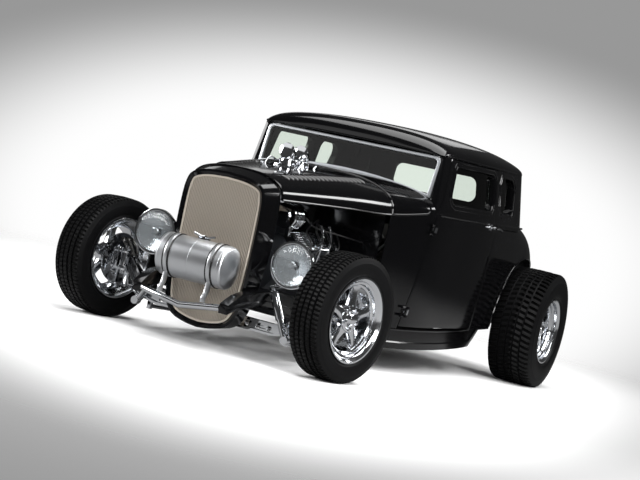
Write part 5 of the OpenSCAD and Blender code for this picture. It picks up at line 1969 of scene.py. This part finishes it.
@dataclass(frozen=True)
class SoftBox:
    """One soft light panel, in metres in the row frame.

    Attributes:
        name: light name.
        place: where it hangs.
        wide: its width.
        deep: its height.
        power: its power in watts.
    """

    name: str
    place: Point3
    wide: float
    deep: float
    power: float


SOFT_BOXES = (
    SoftBox("top", (0.6, -0.8, 5.2), 5.5, 5.5, 430),
    SoftBox("key", (4.6, -4.4, 4.2), 2.6, 2.6, 290),
    SoftBox("front", (-5.4, -4.8, 2.6), 2.8, 2.2, 260),
    SoftBox("back", (-3.5, 5.5, 3.4), 5.0, 1.2, 16),
    SoftBox("rim", (4.8, 3.2, 3.8), 3.0, 1.0, 130),
    SoftBox("bay", (3.4, -2.7, 1.15), 1.0, 0.7, 40),
    SoftBox("veil", (-2.5, -5.1, 3.85), 3.2, 1.6, 15),
)


@dataclass
class Studio:
    """Floor, backdrop, lights and camera.

    Attributes:
        focal_px: focal length in pixels of a picture 640 wide.
        eye: camera's place in millimetres from the front axle.
        yaw: turn to the right in degrees.
        pitch: tilt downwards in degrees.
        roll: roll of the picture in degrees.
        pool_tilt: tilt in degrees of the pool of light in the picture.
        pool_squash: how much wider than high the pool is, as a share.
        aim: point that the lights face.
    """

    focal_px: float = 1480.7
    eye: Point3 = (3425.0, -6364.3, 729.2)
    yaw: float = 24.97
    pitch: float = 0.81
    roll: float = 13.14
    pool_tilt: float = 6.8
    pool_squash: float = 0.49
    aim: Point3 = (0, 0, 0.5)

    def build(self) -> None:
        """Builds floor, world, lights and camera."""
        self._floor()
        self._world()
        for box in SOFT_BOXES:
            self._light(box)
        self._camera()

    def _axes(self) -> tuple[Vector, Vector, Vector]:
        """Right, up and forward directions of the picture.

        Returns:
            The three directions.
        """
        yaw, pitch, roll = (math.radians(a) for a in (self.yaw, self.pitch, self.roll))
        ahead = Vector((-math.sin(yaw) * math.cos(pitch), math.cos(yaw) * math.cos(pitch), -math.sin(pitch)))
        flat = ahead.cross(Vector((0, 0, 1))).normalized()
        right = math.cos(roll) * flat + math.sin(roll) * flat.cross(ahead)
        return right, right.cross(ahead), ahead

    def _pool(self, tree: NodeTree, source: Node, ray: str) -> Node:
        """Adds the tilted ellipse of light, painted into the floor's colour and the backdrop.

        Args:
            tree: node tree.
            source: node that gives the direction from the photographer's place.
            ray: its output.

        Returns:
            Node whose result is the brightness.
        """
        right, up, _ = self._axes()
        tilt = math.radians(self.pool_tilt)
        parts = add_node(tree, "CombineXYZ")
        for axis, label in (
            ((right * math.cos(tilt) - up * math.sin(tilt)) * self.pool_squash, "X"),
            (up * math.cos(tilt) + right * math.sin(tilt), "Y"),
        ):
            dot = add_node(tree, "VectorMath", "DOT_PRODUCT")
            dot.inputs[1].default_value = axis
            join(tree, (source, ray, dot, 0), (dot, "Value", parts, label))
        far = add_node(tree, "VectorMath", "LENGTH")
        grey = add_node(tree, "MapRange", From_Min=0.09, From_Max=0.165, To_Min=1.0, To_Max=0.314)
        grey.interpolation_type = "SMOOTHSTEP"
        join(tree, (parts, "Vector", far, 0), (far, "Value", grey, "Value"))
        return grey

    def _floor(self) -> None:
        """Lays a pale floor with a painted pool of light that greys outwards and a darker painted copy for
        reflections, and that fades into the backdrop.
        """
        bm = bmesh.new()
        bmesh.ops.create_grid(bm, x_segments=1, y_segments=1, size=30)
        floor = new_object("floor", bm)
        mat = bpy.data.materials.new("floor")
        mat.use_nodes = True
        tree = mat.node_tree
        tree.nodes.clear()
        path = add_node(tree, "LightPath")
        lit = add_node(tree, "BsdfDiffuse")
        # painted shade: the floor as reflections see it, darker than it is
        dim = add_node(tree, "BsdfDiffuse", Color=linear("#8C8C8C"))
        clear = add_node(tree, "BsdfTransparent")
        coords = add_node(tree, "TexCoord")
        sight = add_node(tree, "VectorMath", "SUBTRACT")
        sight.inputs[1].default_value = level(self.eye)
        ray = add_node(tree, "VectorMath", "NORMALIZE")
        far = add_node(tree, "VectorMath", "LENGTH")
        fade = add_node(tree, "MapRange", From_Min=2.6, From_Max=6.0)
        fade.interpolation_type = "SMOOTHSTEP"
        seen = add_node(tree, "MixShader")
        faded = add_node(tree, "MixShader")
        out = add_node(tree, "OutputMaterial")
        join(
            tree,
            (coords, "Object", sight, 0),
            (sight, "Vector", ray, 0),
            # painted light: the floor's colour is the pool, white near the car and grey outwards
            (self._pool(tree, ray, "Vector"), "Result", lit, "Color"),
            (path, "Is Glossy Ray", seen, "Fac"),
            (lit, "BSDF", seen, 1),
            (dim, "BSDF", seen, 2),
            (coords, "Object", far, 0),
            (far, "Value", fade, "Value"),
            (fade, "Result", faded, "Fac"),
            (seen, "Shader", faded, 1),
            (clear, "BSDF", faded, 2),
            (faded, "Shader", out, "Surface"),
        )
        floor.data.materials.append(mat)

    def _world(self) -> None:
        """Sets a pale backdrop that greys outwards, and a dark room for reflections."""
        world = bpy.data.worlds.new("studio")
        bpy.context.scene.world = world
        world.use_nodes = True
        tree = world.node_tree
        shown = tree.nodes["Background"]
        coords = add_node(tree, "TexCoord")
        room = add_node(tree, "Background", Color=linear("#FFFFFF"), Strength=0.05)
        fill = add_node(tree, "Background", Color=linear("#FFFFFF"), Strength=0.25)
        path = add_node(tree, "LightPath")
        straight = add_node(tree, "Math", "MAXIMUM")
        other = add_node(tree, "MixShader")
        final = add_node(tree, "MixShader")
        join(
            tree,
            (self._pool(tree, coords, "Generated"), "Result", shown, "Color"),
            (path, "Is Glossy Ray", other, "Fac"),
            (fill, "Background", other, 1),
            (room, "Background", other, 2),
            (path, "Is Camera Ray", straight, 0),
            (path, "Is Transmission Ray", straight, 1),
            (straight, "Value", final, "Fac"),
            (other, "Shader", final, 1),
            (shown, "Background", final, 2),
            (final, "Shader", tree.nodes["World Output"], "Surface"),
        )

    def _light(self, box: SoftBox) -> None:
        """Hangs one soft panel.

        Args:
            box: panel to hang.
        """
        light = bpy.data.lights.new(box.name, "AREA")
        light.shape = "RECTANGLE"
        light.size, light.size_y = box.wide, box.deep
        light.energy = box.power
        lamp = place(box.name, light)
        lamp.location = box.place
        lamp.rotation_euler = (Vector(self.aim) - Vector(box.place)).to_track_quat("-Z", "Y").to_euler()

    def _camera(self) -> None:
        """Sets the camera at the photo's angle."""
        cam = bpy.data.cameras.new("camera")
        cam.sensor_width = 36
        cam.lens = self.focal_px * cam.sensor_width / 640
        cam.clip_end = 300
        right, up, ahead = self._axes()
        obj = place("camera", cam)
        turn = Matrix((right, up, -ahead)).transposed().to_4x4()
        obj.matrix_world = Matrix.Translation(level(self.eye)) @ turn
        bpy.context.scene.camera = obj


def main() -> None:
    """Builds the whole scene."""
    bpy.context.scene.view_settings.view_transform = "Standard"
    CadDress().dress()
    FrontBody().build()
    RearBody().build()
    for side, tag in SIDES:
        Door(side, f"door_{tag}").build()
        Tyres.front(side, tag).build()
        Tyres.rear(side, tag).build()
    Tank().build()
    Headlamps().build()
    EngineBay().build()
    Bench().build()
    Studio().build()


if __name__ == "__main__":
    main()
